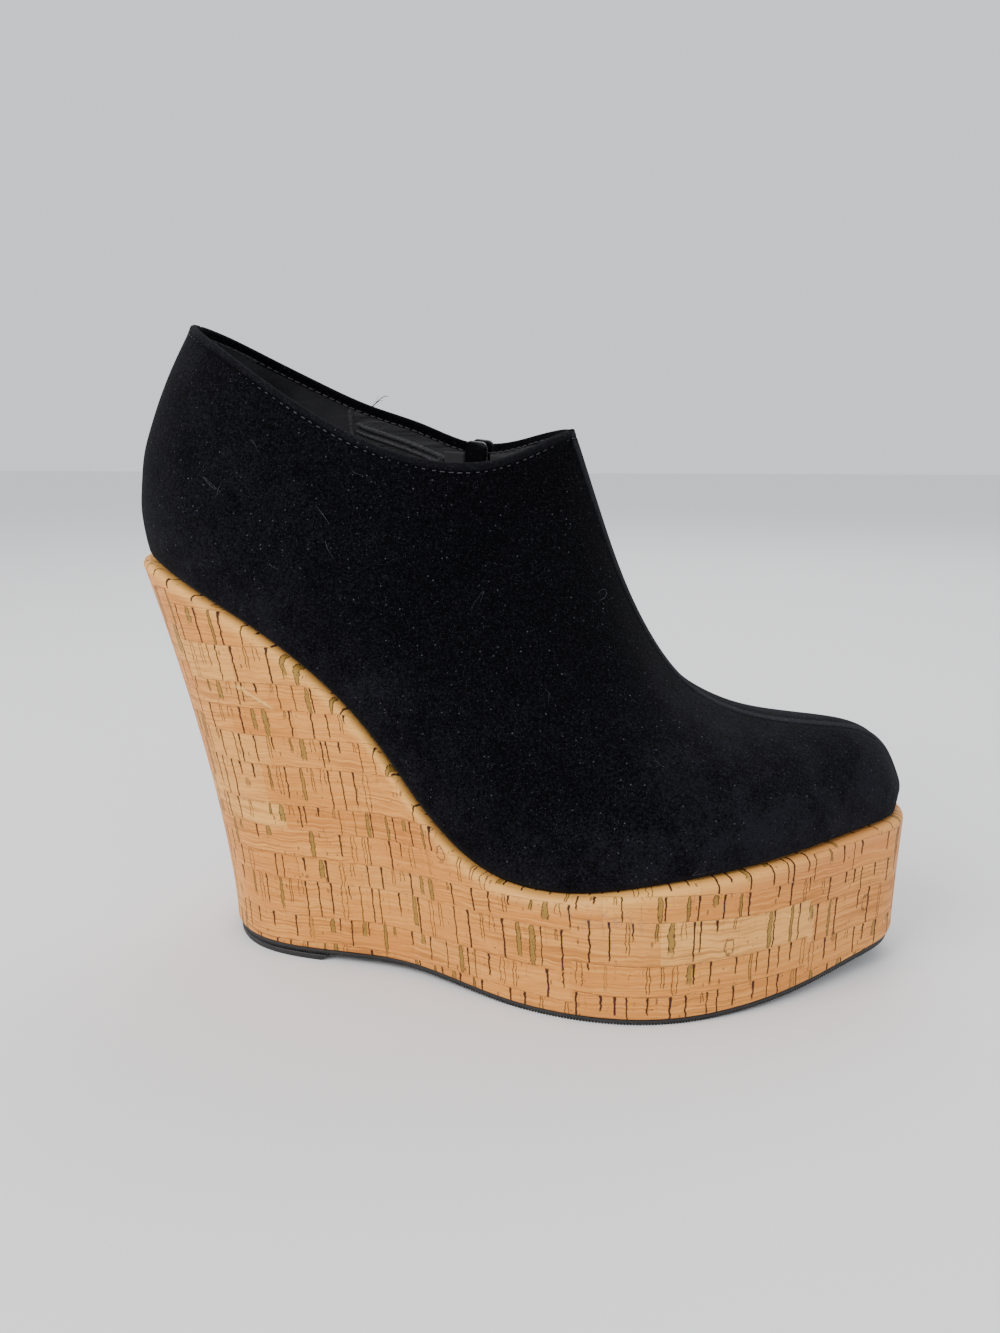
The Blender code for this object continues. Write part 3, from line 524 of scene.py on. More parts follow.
@functools.cache
def slider_frame():
    """The slider's middle on the face, and unit vectors down the zip, across it and outwards."""
    middle = SLIDER_LENGTH / 2 - SLIDER_PROUD
    downs = np.array([0.0, SLIDER_LENGTH, middle, middle])
    asides = np.array([0.0, 0.0, -SLIDER_WIDTH / 2, SLIDER_WIDTH / 2])
    top, foot, back, front = zip_points(downs, asides, 0.0)
    down = unit(foot - top)
    out = unit(np.cross(front - back, down))
    return (back + front) / 2, down, np.cross(down, out), out


def loft(rings):
    """Points and faces of a solid through rings, whose ends are closed by strips across them."""
    points, faces = ringed(rings)
    count = len(rings[0])
    for k in (0, len(points) - count):
        for i in range(count // 2 - 1):
            faces.append((k + i, k + i + 1, k + count - i - 2, k + count - i - 1))
    return points, faces


SHIFT = np.array([-LENGTH / 2, (BALL_LATERAL - BALL_MEDIAL) / 2, 0.0])
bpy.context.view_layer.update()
BODY = "shoe"

# The photograph's view of the shoe
CAMERA_PLACE = (0.04275, -0.29105, 0.1520)
CAMERA_YAW = 9.3  # degrees that it looks towards the heel
CAMERA_PITCH = 12.31  # degrees down
FOCAL_PIXELS = 1001.0
IMAGE = (1000.0, 1333.0)
SENSOR = 36.0
VIEW_TURN = Euler((math.radians(90 - CAMERA_PITCH), 0, math.radians(CAMERA_YAW)), "XYZ")

# Steps of the fine surfaces
FINE_PLACES = 22
FINE_RISES = 56
RIM_STEPS = 7
FINE_STEP = 2  # every second point of the dense outlines
CORK_RINGS = 46
EASE_STEPS = 120

# Places of the lining, of sewn lines and of the folds
HEEL_LINING_FRONT = 0.058  # smooth heel lining behind this, cloth in front
STITCH_DEPTH = 0.0017  # stitches below the topline
SLOT_STITCH = 0.0024  # stitches beside the zip's slot
SLOT_CORNER = 0.0022  # radius of a sewn corner below the slot
FACING_ASIDE = 0.0135  # folds of the facing beside the zip
EASE_REACH = 0.035  # distance from the collar's tip over which the quarters are smoothed
TREAD_PITCH = 0.0036
TREAD_EDGE = 0.0045  # tread's ends inside the sole's edge
TREAD_START = 0.075  # in front of the heel's back
INSIDE = -WALL - 0.0001  # lift of what lies on the lining face
FACING_FOLDS = ((0.0062, 0.0008), (0.0085, 0.0006))  # depth below the topline and radius
FACING_CUT = 0.009  # the folds stop this far from the slider
SLOT_EDGE_RADIUS = 0.00075  # turned edge of the slot
SLOT_EDGE_ASIDE = 0.0002
SLOT_EDGE_SINK = 0.00055
TOOTH_REACH = 0.58  # shares of the chain's width
TOOTH_ASIDE = 0.21
TOOTH_WIDTH = 0.62  # share of the teeth's pitch
RIB_INSET = 0.00045  # fine ribs inside the sole's edge and over the ground
RIB_RISE = 0.00042
RIB_WIDTH = 0.55  # share of the ribs' pitch
FIBRE_SIZES = (0.45, 1.25)  # shortest and longest fibre, as shares of the length set
NAP_SINK = 0.00003
NAP_RADIUS = 0.000028
SMOOTH_ANGLE = 50.0  # edges flatter than this are shaded round, degrees
MM = 1000.0
FLOOR_REACH = 6.0
AIM_HEIGHT = 0.08  # the lamps point above the middle of the floor

# Relief of the suede: depth of each hollow, and width of each hill or hollow beside its line
FOLD_WIDTH = 0.0020  # turned edge before it fades
FOLD_FADE = 0.0010
SEWN_SINK = 0.00025
SEWN_WIDTH = 0.0006
RIDGE_WIDTH = 0.0007
GROOVE_SHARE = 0.3  # groove beside the centre seam, as a share of its ridge
GROOVE_PLACE = 0.0019
GROOVE_WIDTH = 0.0008
BACK_SINK = 0.00045  # back seam
BACK_WIDTH = 0.0007
TUCK_SINK = 0.0012  # suede drawn in at the cork
TUCK_RISE = 0.035  # share of the upper's height
WAVES = (
    # length, strength, seed
    (0.038, 1.0, 3),
    (0.016, 0.5, 8),
)


def cleaned(mesh, merge=MERGE, flat=None):
    """The mesh with its doubles merged, flat faces joined and faces turned outwards."""
    work = bmesh.new()
    work.from_mesh(mesh)
    bmesh.ops.remove_doubles(work, verts=work.verts, dist=merge)
    if flat:
        bmesh.ops.dissolve_limit(work, angle_limit=flat, verts=work.verts, edges=work.edges)
    bmesh.ops.recalc_face_normals(work, faces=work.faces)
    work.to_mesh(mesh)
    work.free()
    return mesh


def linked(title, data):
    """A new object in the scene with a mesh, a light or a camera."""
    made = bpy.data.objects.new(title, data)
    bpy.context.scene.collection.objects.link(made)
    return made


def shaded(mesh, smooth=SMOOTH_ANGLE):
    mesh.shade_smooth()
    if smooth < 180:
        mesh.set_sharp_from_angle(angle=math.radians(smooth))


def to_object(piece_name, points, faces, finishes=(), slots=None, smooth=SMOOTH_ANGLE, uvs=None):
    """A mesh object in the frame, its doubles merged and its faces turned outwards."""
    mesh = bpy.data.meshes.new(piece_name)
    mesh.from_pydata((np.asarray(points, float) + SHIFT).tolist(), [], faces)
    for finish in finishes:
        mesh.materials.append(finish)
    if slots is not None:
        mesh.polygons.foreach_set("material_index", np.asarray(slots, np.int32))
    if uvs is not None:
        layer = mesh.uv_layers.new(name="wall")
        layer.data.foreach_set("uv", np.asarray(uvs, np.float32).ravel())
    shaded(cleaned(mesh), smooth)
    return linked(piece_name, mesh)


def joined(solids):
    """Points and faces of several solids as one list."""
    points, faces, start = [], [], 0
    for solid_points, solid_faces in solids:
        points.append(np.asarray(solid_points, float))
        faces += [tuple(start + index for index in face) for face in solid_faces]
        start += len(solid_points)
    return np.concatenate(points), faces


def settle(piece, nodes=(), body=BODY):
    """Puts a finished piece on its body, in place of the solids it stands for."""
    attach(piece, body)
    if nodes:
        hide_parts(*nodes)
    return piece


def settle_solids(title, solids, finish, smooth=SMOOTH_ANGLE):
    settle(to_object(title, *joined(solids), [finish], smooth=smooth))


def plain(piece):
    """The piece with its modifiers made into its mesh."""
    graph = bpy.context.evaluated_depsgraph_get()
    mesh = bpy.data.meshes.new_from_object(piece.evaluated_get(graph))
    old = piece.data
    piece.modifiers.clear()
    piece.data = mesh
    bpy.data.meshes.remove(old)
    return piece


def point_values(mesh, attribute, values):
    mesh.attributes.new(attribute, "FLOAT", "POINT").data.foreach_set(
        "value", np.asarray(values, np.float32)
    )


def points_of(mesh):
    flat = np.empty(len(mesh.vertices) * 3, np.float32)
    mesh.vertices.foreach_get("co", flat)
    return flat.reshape(-1, 3).astype(float) - SHIFT


def distances(points, line):
    """Distance of each point to a dense line of points."""
    fine = along_line(line, np.linspace(0, 1, 6 * len(line)))
    tree = kdtree.KDTree(len(fine))
    for index, place in enumerate(fine):
        tree.insert(place, index)
    tree.balance()
    return np.array([tree.find(place)[2] for place in points])


def ripple(points, length, seed):
    """Soft unevenness between -1 and 1 with waves of about that length."""
    turns = np.random.default_rng(seed)
    total = np.zeros(len(points))
    for _ in range(9):
        way = unit(turns.normal(size=3)) / (length * turns.uniform(0.7, 1.5))
        total += np.sin(points @ way * 2 * math.pi + turns.uniform(0, 2 * math.pi))
    return total / 4.5


def hill(far, middle, width):
    """1 at one distance from a line, and less to both sides of it."""
    return np.exp(-(((far - middle) / width) ** 2))


def tube(line, radii, outs, sides=8, flat=1.0):
    """Points and faces of a tube along a line, flattened towards the surface that it lies on."""
    line = np.asarray(line, float)
    radii = np.broadcast_to(np.asarray(radii, float), (len(line),))
    run = unit(np.gradient(line, axis=0))
    outs = np.broadcast_to(np.asarray(outs, float), line.shape)
    out = unit(outs - run * (outs * run).sum(1)[:, None])
    aside = np.cross(run, out)
    turns = np.linspace(0, 2 * math.pi, sides, endpoint=False)
    cos, sin = np.cos(turns)[:, None], np.sin(turns)[:, None] * flat
    return loft([
        centre + radius * (cos * across + sin * upwards)
        for centre, radius, across, upwards in zip(line, radii, aside, out)
    ])


def smooth_line(rows, count):
    """A smooth line of so many points through a few rows of numbers."""
    rows = np.asarray(rows, float)
    return spline(lengths(rows), rows, np.linspace(0, 1, count))


def add_tree(title, *sockets):
    """A geometry node tree with named inputs, and its input and output nodes."""
    sockets = (("Geometry", "Geometry"), ("Shape", "Object"), *sockets, ("Looseness", "Float"),
               ("Seed", "Int"), ("Finish", "Material"))
    tree = bpy.data.node_groups.new(title, "GeometryNodeTree")
    tree.interface.new_socket("Geometry", in_out="OUTPUT", socket_type="NodeSocketGeometry")
    for label, kind in sockets:
        tree.interface.new_socket(label, in_out="INPUT", socket_type=f"NodeSocket{kind}")
    return tree, tree.nodes.new("NodeGroupInput"), tree.nodes.new("NodeGroupOutput")


def add_link(tree, socket, value):
    if isinstance(value, bpy.types.NodeSocket):
        tree.links.new(value, socket)
    else:
        socket.default_value = value


def add_node(tree, kind, settings=None, links=None):
    """A geometry node with its settings, and its sockets linked or set."""
    made = tree.nodes.new(kind)
    for setting, value in (settings or {}).items():
        setattr(made, setting, value)
    for socket, value in (links or {}).items():
        add_link(tree, made.inputs[socket], value)
    return made


def finish_tree(tree, given, end, spots, rotation, size=(1.0, 1.0, 1.0)):
    """Ends a tree: copies of its Shape at the spots, made real, with its Finish on them."""
    shape = add_node(tree, "GeometryNodeObjectInfo", None, {"Object": given.outputs["Shape"]})
    links = {"Points": spots, "Instance": shape.outputs["Geometry"], "Rotation": rotation,
             "Scale": size}
    copies = add_node(tree, "GeometryNodeInstanceOnPoints", None, links)
    real = add_node(tree, "GeometryNodeRealizeInstances", None, {0: copies.outputs[0]})
    links = {"Geometry": real.outputs[0], "Material": given.outputs["Finish"]}
    coated = add_node(tree, "GeometryNodeSetMaterial", None, links)
    tree.links.new(coated.outputs[0], end.inputs[0])
    return tree


def random_between(tree, given, low, high, kind="FLOAT"):
    """A random number or vector for each copy, from the tree's own Seed."""
    made = add_node(tree, "FunctionNodeRandomValue", {"data_type": kind})
    first = 0 if kind == "FLOAT_VECTOR" else 2
    for socket, value in ((first, low), (first + 1, high), ("Seed", given.outputs["Seed"])):
        add_link(tree, made.inputs[socket], value)
    return made.outputs[first // 2]


def turned_by(tree, rotation, euler):
    """A rotation turned by an Euler rotation in its own frame."""
    turn = add_node(tree, "FunctionNodeEulerToRotation", None, {0: euler})
    links = {"Rotation": rotation, "Rotate By": turn.outputs[0]}
    return add_node(tree, "FunctionNodeRotateRotation", {"rotation_space": "LOCAL"}, links).outputs[0]


def loosened(tree, given, rotation):
    """A rotation with a small random turn, as far as the tree's Looseness says."""
    spread = given.outputs["Looseness"]
    low = add_node(tree, "ShaderNodeMath", {"operation": "MULTIPLY"}, {0: spread, 1: -1.0})
    turn = random_between(tree, given, low.outputs[0], spread, "FLOAT_VECTOR")
    return turned_by(tree, rotation, turn)


@functools.cache
def row_tree():
    """Copies of a small shape along a line, their tops to the line's own outward direction."""
    tree, given, end = add_tree("Row along a line", ("Pitch", "Float"))
    curve = add_node(tree, "GeometryNodeMeshToCurve", None, {0: given.outputs["Geometry"]})
    links = {"Curve": curve.outputs[0], "Length": given.outputs["Pitch"]}
    spaced = add_node(tree, "GeometryNodeResampleCurve", {"mode": "LENGTH"}, links)
    out = add_node(tree, "GeometryNodeInputNamedAttribute", {"data_type": "FLOAT_VECTOR"},
                   {"Name": "out"})
    tangent = add_node(tree, "GeometryNodeInputTangent")
    up = add_node(tree, "FunctionNodeAlignRotationToVector", {"axis": "Z"},
                  {"Vector": out.outputs[0]})
    links = {"Rotation": up.outputs[0], "Vector": tangent.outputs[0]}
    turned = add_node(tree, "FunctionNodeAlignRotationToVector",
                      {"axis": "X", "pivot_axis": "Z"}, links)
    rotation = loosened(tree, given, turned.outputs[0])
    return finish_tree(tree, given, end, spaced.outputs[0], rotation)


@functools.cache
def scatter_tree():
    """Copies of a small shape all over a surface, turned at random about its outward direction."""
    tree, given, end = add_tree("Scatter over a surface", ("Density", "Float"))
    links = {"Mesh": given.outputs["Geometry"], "Density": given.outputs["Density"],
             "Seed": given.outputs["Seed"]}
    spots = add_node(tree, "GeometryNodeDistributePointsOnFaces", None, links)
    turn = random_between(tree, given, 0.0, 2 * math.pi)
    spin = add_node(tree, "ShaderNodeCombineXYZ", None, {2: turn})
    rotation = turned_by(tree, spots.outputs["Rotation"], spin.outputs[0])
    rotation = loosened(tree, given, rotation)
    size = random_between(tree, given, *FIBRE_SIZES)
    return finish_tree(tree, given, end, spots.outputs["Points"], rotation, size)


def grow_copies(piece, tree, shape, inputs):
    """Runs a tree on a piece and makes the result its mesh."""
    small = bpy.data.objects.new("small_shape", shape)
    modifier = piece.modifiers.new("copies", "NODES")
    modifier.node_group = tree
    named = {item.name: item.identifier for item in tree.interface.items_tree
             if item.in_out == "INPUT"}
    for label, value in {"Shape": small, **inputs}.items():
        modifier[named[label]] = value
    shaded(plain(piece).data)
    bpy.data.objects.remove(small, do_unlink=True)
    return piece


def row_of(piece_name, lines, shape, pitch, finish, looseness=0.0, seed=1, closed=False):
    """One mesh of a small shape repeated along lines, each given with its outward directions."""
    mesh = bpy.data.meshes.new(piece_name)
    points, outs, edges = [], [], []
    for line, out in lines:
        start = len(points)
        points += (np.asarray(line) + SHIFT).tolist()
        outs += np.broadcast_to(np.asarray(out, float), np.shape(line)).tolist()
        edges += [(start + i, start + i + 1) for i in range(len(line) - 1)]
        if closed:
            edges.append((start + len(line) - 1, start))
    mesh.from_pydata(points, edges, [])
    made = mesh.attributes.new("out", "FLOAT_VECTOR", "POINT")
    made.data.foreach_set("vector", np.asarray(outs, np.float32).ravel())
    inputs = {"Pitch": pitch, "Looseness": looseness, "Seed": seed, "Finish": finish}
    return grow_copies(linked(piece_name, mesh), row_tree(), shape, inputs)


def small_mesh(points, faces):
    """A small shape's mesh, about its own origin."""
    mesh = bpy.data.meshes.new("small_shape")
    mesh.from_pydata(np.asarray(points, float).tolist(), [], faces)
    return cleaned(mesh, MERGE / 10)


def stitch_shape(length, radius):
    """One stitch of thread, its ends sunk in the suede."""
    rows = np.array([(-0.5, -0.9, 0.55), (-0.36, 0.1, 0.95), (0.0, 0.35, 1.05),
                     (0.36, 0.1, 0.95), (0.5, -0.9, 0.55)])
    line = np.column_stack([rows[:, 0] * length, np.zeros(5), rows[:, 1] * radius])
    return small_mesh(*tube(line, rows[:, 2] * radius, (0.0, 0.0, 1.0), 6))


def tooth_shape(reach, width, height):
    """One zip tooth: a narrow root that widens to a rounded head across the chain."""
    rows = ((-1.0, 0.55, 0.7), (-0.2, 0.6, 1.0), (0.25, 1.0, 1.0), (0.8, 0.9, 0.9), (1.0, 0.5, 0.6))
    rings = []
    for across, wide, high in rows:
        x, z = wide * width / 2, high * height / 2
        corners = np.array([(-x, -z), (x, -z), (x, z * 0.6), (x * 0.5, z), (-x * 0.5, z), (-x, z * 0.6)])
        rings.append(np.column_stack([corners[:, 0], np.full(6, across * reach / 2), corners[:, 1]]))
    return small_mesh(*loft(rings))


def box_shape(length, width, height, taper=1.0):
    """A small block, narrower at its top by the taper."""
    x, y, z = length / 2, width / 2, height / 2
    rings = [
        np.array([(-x * s, -y * s, h), (x * s, -y * s, h), (x * s, y * s, h), (-x * s, y * s, h)])
        for s, h in ((1.0, -z), (taper, z))
    ]
    return small_mesh(*loft(rings))


class Socket:
    """A shader socket that Python's operators turn into Math nodes."""

    def __init__(self, finish, socket):
        self.finish, self.socket = finish, socket

    def math(self, operation, *values, clamp=False):
        settings = {"operation": operation, "use_clamp": clamp}
        return self.finish.node("ShaderNodeMath", settings, dict(enumerate(values)))

    def abs(self):
        return self.math("ABSOLUTE", self)

    def floor(self):
        return self.math("FLOOR", self)

    def least(self, other):
        return self.math("MINIMUM", self, other)

    def most(self, other):
        return self.math("MAXIMUM", self, other)

    def held(self):
        """Held between 0 and 1."""
        return self.math("ADD", self, 0.0, clamp=True)

    def ramp(self, low, high):
        """0 below low, 1 above high, and smooth between them."""
        settings = {"interpolation_type": "SMOOTHSTEP"}
        return self.finish.node("ShaderNodeMapRange", settings, {0: self, 1: low, 2: high})

    def fall(self, low, high):
        """1 below low, 0 above high, and smooth between them."""
        return 1.0 - self.ramp(low, high)


def operator(operation, swapped=False):
    def apply(self, other):
        first, second = (other, self) if swapped else (self, other)
        return self.math(operation, first, second)

    return apply


for sign, operation in (("add", "ADD"), ("sub", "SUBTRACT"), ("mul", "MULTIPLY"),
                        ("truediv", "DIVIDE"), ("pow", "POWER")):
    setattr(Socket, f"__{sign}__", operator(operation))
    setattr(Socket, f"__r{sign}__", operator(operation, True))


class Finish:
    """A material being made, with one method for every node."""

    def __init__(self, title, colour, roughness, **constants):
        self.material = bpy.data.materials.new(title)
        self.material.use_nodes = True
        self.tree = self.material.node_tree
        self.shader = self.tree.nodes["Principled BSDF"]
        self.paint(colour)
        self.dull(roughness)
        for socket, value in constants.items():
            self.put(self.shader.inputs[socket.replace("_", " ")], value)

    def put(self, socket, value):
        if isinstance(value, Socket):
            self.tree.links.new(value.socket, socket)
        elif isinstance(value, tuple) and len(value) == 3 and socket.type == "RGBA":
            socket.default_value = (*value, 1.0)
        else:
            socket.default_value = value

    def node(self, kind, settings=None, inputs=None, out=0):
        made = self.tree.nodes.new(kind)
        for setting, value in (settings or {}).items():
            setattr(made, setting, value)
        for socket, value in (inputs or {}).items():
            self.put(made.inputs[socket], value)
        if isinstance(out, tuple):
            return [Socket(self, made.outputs[name]) for name in out]
        return Socket(self, made.outputs[out])

    def place(self):
        """Object coordinates in millimetres."""
        made = self.node("ShaderNodeTexCoord", out="Object")
        return self.scaled(made, MM)

    def scaled(self, vector, scale):
        by = scale if isinstance(scale, tuple) else (scale, scale, scale)
        return self.node("ShaderNodeVectorMath", {"operation": "MULTIPLY"}, {0: vector, 1: by})

    def vector(self, x=0.0, y=0.0, z=0.0):
        return self.node("ShaderNodeCombineXYZ", None, {0: x, 1: y, 2: z})

    def parts(self, vector):
        return self.node("ShaderNodeSeparateXYZ", None, {0: vector}, out=(0, 1, 2))

    def attribute(self, title):
        return self.node("ShaderNodeAttribute", {"attribute_name": title}, out="Fac")

    def noise(self, vector, scale, detail=2.0, rough=0.5, bend=0.0):
        inputs = {"Vector": vector, "Scale": scale, "Detail": detail, "Roughness": rough,
                  "Distortion": bend}
        return self.node("ShaderNodeTexNoise", None, inputs)

    def cells(self, vector, scale):
        """Distance to the nearest cell's point and that cell's random colour."""
        inputs = {"Vector": vector, "Scale": scale}
        return self.node("ShaderNodeTexVoronoi", None, inputs, ("Distance", "Color"))

    def rows(self, along, spread, feature="F1", out=("Distance", "Color")):
        """Cells on a line: distance to the nearest point and its colour."""
        inputs = {"W": along, "Scale": 1.0, "Randomness": spread}
        settings = {"voronoi_dimensions": "1D", "feature": feature}
        return self.node("ShaderNodeTexVoronoi", settings, inputs, out)

    def channels(self, colour):
        return self.node("ShaderNodeSeparateColor", None, {0: colour}, out=(0, 1, 2))

    def mix(self, factor, first, second):
        inputs = {0: factor, 6: first, 7: second}
        return self.node("ShaderNodeMix", {"data_type": "RGBA"}, inputs, 2)

    def paint(self, colour):
        self.put(self.shader.inputs["Base Color"], colour)

    def dull(self, roughness):
        self.put(self.shader.inputs["Roughness"], roughness)

    def bump(self, height, distance, strength=1.0):
        """Raises the surface by height times distance, in metres."""
        normal = self.node("ShaderNodeBump", None,
                           {"Height": height, "Distance": distance, "Strength": strength})
        self.put(self.shader.inputs["Normal"], normal)


@functools.cache
def suede():
    """Black suede: fine nap, soft patches, pale dust low down, specks, paler fuzz on the seams, a paler
    turned edge that is painted sheen, and painted shade along the stitch line.
    """
    look = bpy.context.scene.boot_suede
    made = Finish("suede", (0.01, 0.01, 0.012), 0.95, Sheen_Weight=look.sheen,
                  Sheen_Roughness=0.5, Specular_IOR_Level=0.02)
    place = made.place()
    x, _, z = made.parts(place)
    edge, seam = made.attribute("edge"), made.attribute("seam")
    feather, back = made.attribute("feather"), made.attribute("back")
    patch = made.noise(place, 0.045, 3.0, 0.6, 0.5)
    cloud = made.noise(place, 0.16, 3.0, 0.6, 0.3)
    nap = made.noise(place, 1.3, 3.0, 0.75)
    grain = made.noise(place, 3.6, 2.0, 0.7)
    # Pale dust low down by the cork; paler at the heel and on the vamp, and darker in the upper front
    # quarter.
    low = feather.fall(0.002, 0.030)
    heel = x.fall(-85.0, -25.0)
    vamp = x.ramp(20.0, 60.0)
    front = x.ramp(-35.0, 0.0) * z.ramp(75.0, 115.0)
    dust_and_tone = (low * 0.30 + heel * 0.16 + vamp * 0.32 + 0.16) * (1.0 - front * 0.75)
    shade = dust_and_tone * (0.35 + patch.ramp(0.36, 0.66) * 0.55 + cloud.ramp(0.36, 0.66) * 0.45)
    shade = shade + (nap - 0.5) * 2.6 + (grain - 0.5) * 2.6
    colour = made.mix(shade.held(), tuple(look.dark), tuple(look.light))
    distance, ids = made.cells(place, 0.80)
    pick, _, bright = made.channels(ids)
    speck = distance.fall(0.07, 0.21) * pick.ramp(0.77, 0.83) * (bright * 0.8 + 0.2)
    tiny, tiny_ids = made.cells(place, 2.1)
    tiny_pick, _, _ = made.channels(tiny_ids)
    speck = speck + tiny.fall(0.10, 0.26) * tiny_pick.ramp(0.80, 0.88) * 0.6
    colour = made.mix((speck * look.specks).held(), colour, (0.115, 0.117, 0.135))
    # Paler fuzz on the centre and back seams, and a painted sheen along the turned topline.
    rim = edge.fall(0.0004, 0.0018) * 0.30 + seam.fall(0.0008, 0.0015) * 1.3
    rim = rim + back.fall(0.0002, 0.0008) * 0.25
    fuzz = (rim * (grain * 0.9 + nap * 0.6)).held()
    colour = made.mix(fuzz * 0.42, colour, (0.045, 0.045, 0.052))
    # Painted shade: near black in the sunk line of the stitches below the topline.
    furrow = (edge - STITCH_DEPTH).abs().ramp(0.0002, 0.0008)
    colour = made.mix((1.0 - furrow) * 0.6, colour, (0.001, 0.001, 0.0015))
    made.paint(colour)
    made.bump(nap * 0.7 + grain * 0.45 + cloud * 0.5, 0.00032, 0.85)
    return made.material


@functools.cache
def cork():
    """Cork veneer: courses with fine wavy grain, upright slits and a few gold-flecked gaps."""
    look = bpy.context.scene.boot_cork
    made = Finish("cork", (0.6, 0.34, 0.17), 0.6, Specular_IOR_Level=0.30)
    flat = made.scaled(made.node("ShaderNodeUVMap", {"uv_map": "wall"}), MM)
    along, up, _ = made.parts(flat)
    _, panel_ids = made.rows(along / (look.sheet * 2.6), 0.8)
    panel, _, _ = made.channels(panel_ids)
    sag = made.noise(made.vector(along * 0.016, up * 0.020, 0.0), 1.0, 1.0) - 0.5
    height = up + sag * 5.0 + (panel - 0.5) * 5.0
    bent = height * 0.16
    course = height / look.course + bent.math("SINE", bent) * 0.14
    bent = height * 0.37 + 1.0
    course = course + bent.math("SINE", bent) * 0.07
    level = course.floor()
    course_ids = made.node("ShaderNodeTexWhiteNoise", {"noise_dimensions": "1D"},
                           {"W": level}, "Value")
    sheet_places = along / look.sheet + course_ids * 53.0
    _, sheet_ids = made.rows(sheet_places, 0.8)
    sheet, _, _ = made.channels(sheet_ids)
    joint = made.rows(sheet_places, 0.8, "DISTANCE_TO_EDGE", "Distance") * look.sheet
    within = course - level
    edge = within.least(1.0 - within) * look.course
    ids = made.node("ShaderNodeTexWhiteNoise", {"noise_dimensions": "2D"},
                    {"Vector": made.vector(level, (sheet * 977.0).floor(), panel)}, "Color")
    warm, pale, _ = made.channels(ids)
    ragged = made.noise(flat, 0.75, 2.0, 0.65)
    rough = made.noise(flat, 2.4, 2.0, 0.6)
    wander = made.noise(made.vector(along * 0.12, up * 0.45, 0.0), 1.0, 3.0, 0.65) - 0.5
    line = (along + wander * 1.3) / look.gap + course_ids * 97.0
    near, slit_ids = made.rows(line, 0.92)
    near = near * look.gap
    kind, reach, tone = made.channels(slit_ids)
    drop = 1.0 - within
    running = 1.0 - (drop - reach * 1.1 - 0.30 + (ragged - 0.5) * 0.35).ramp(-0.06, 0.05)
    running = running * edge.ramp(0.0, 0.25)
    head = drop.fall(0.02, 0.30)
    half = (0.09 + tone * 0.20) * (0.15 + ragged * 0.9 + rough * 0.9) * (0.75 + head * 0.5)
    crowd = made.noise(made.vector(along * 0.055, level * 3.1, 0.0), 1.0, 1.0)
    slit = (near - half).fall(0.0, 0.13) * running * kind.ramp(0.26, 0.28)
    slit = slit * (tone + crowd * 2.4).ramp(1.36, 1.42)
    dash_distance, dash_ids = made.cells(made.scaled(flat, (0.62, 0.24, 1.0)), 1.0)
    dash_pick, dash_size, _ = made.channels(dash_ids)
    dash = (dash_distance - dash_size * 0.13 - ragged * 0.06).fall(0.02, 0.10)
    dash = dash * dash_pick.ramp(0.66, 0.70)
    belly = (within * drop * 4.0) ** 0.3
    wide = (0.30 + tone * 0.60) * (0.35 + ragged * 1.3) * belly
    paired = kind.fall(0.26, 0.28) * running
    rim = (near - wide).abs().fall(0.03, 0.17) * paired
    filled = kind.fall(0.12, 0.14)
    gold = (near - wide).fall(-0.06, 0.04) * paired * filled
    thin_line = (along + wander * 2.4) / 1.9 + course_ids * 41.0
    thin_near, thin_ids = made.rows(thin_line, 0.95)
    thin_pick, thin_reach, _ = made.channels(thin_ids)
    thin = (thin_near * 1.9).fall(0.02, 0.12) * thin_pick.ramp(0.62, 0.66)
    thin = thin * (drop - thin_reach * 0.6 - 0.1).fall(-0.05, 0.05) * ragged.ramp(0.42, 0.55)
    dot_distance, _ = made.cells(flat, 1.5)
    dots = dot_distance.fall(0.18, 0.36)
    knot_distance, knot_ids = made.cells(made.scaled(flat, (0.075, 0.048, 1.0)), 1.0)
    knot_pick, knot_ring, _ = made.channels(knot_ids)
    knot_far = knot_distance - (ragged - 0.5) * 0.16
    knot = knot_far.fall(0.05, 0.10) * knot_pick.ramp(0.70, 0.72) * knot_ring.ramp(0.25, 0.27)
    ring = (knot_far - 0.11).abs().fall(0.008, 0.022) * knot_pick.ramp(0.70, 0.72)
    ring = ring * knot_ring.fall(0.25, 0.27)
    fleck_distance, fleck_ids = made.cells(flat, 0.50)
    fleck_pick, fleck_size, _ = made.channels(fleck_ids)
    fleck = (fleck_distance - fleck_size * 0.10).fall(0.02, 0.09) * fleck_pick.ramp(0.76, 0.80)
    wave = made.noise(made.vector(along * 0.09, up * 0.10, 0.0), 1.0, 2.0, 0.6) * 3.2
    grain = made.noise(made.vector(along * 0.05, (up + wave) * 1.7, level * 3.7), 1.0, 2.0, 0.6)
    fine = made.noise(made.vector(along * 0.30, (up + wave) * 4.2, 4.0), 1.0, 2.0, 0.65)
    strong = made.noise(made.vector(along * 0.03, level * 1.7, 9.0), 1.0, 1.0).ramp(0.38, 0.62)
    blotch = made.noise(flat, 0.09, 2.0, 0.5)
    top = made.attribute("top")
    x, y, z = made.parts(made.place())
    outer = y.fall(-6.0, 4.0)
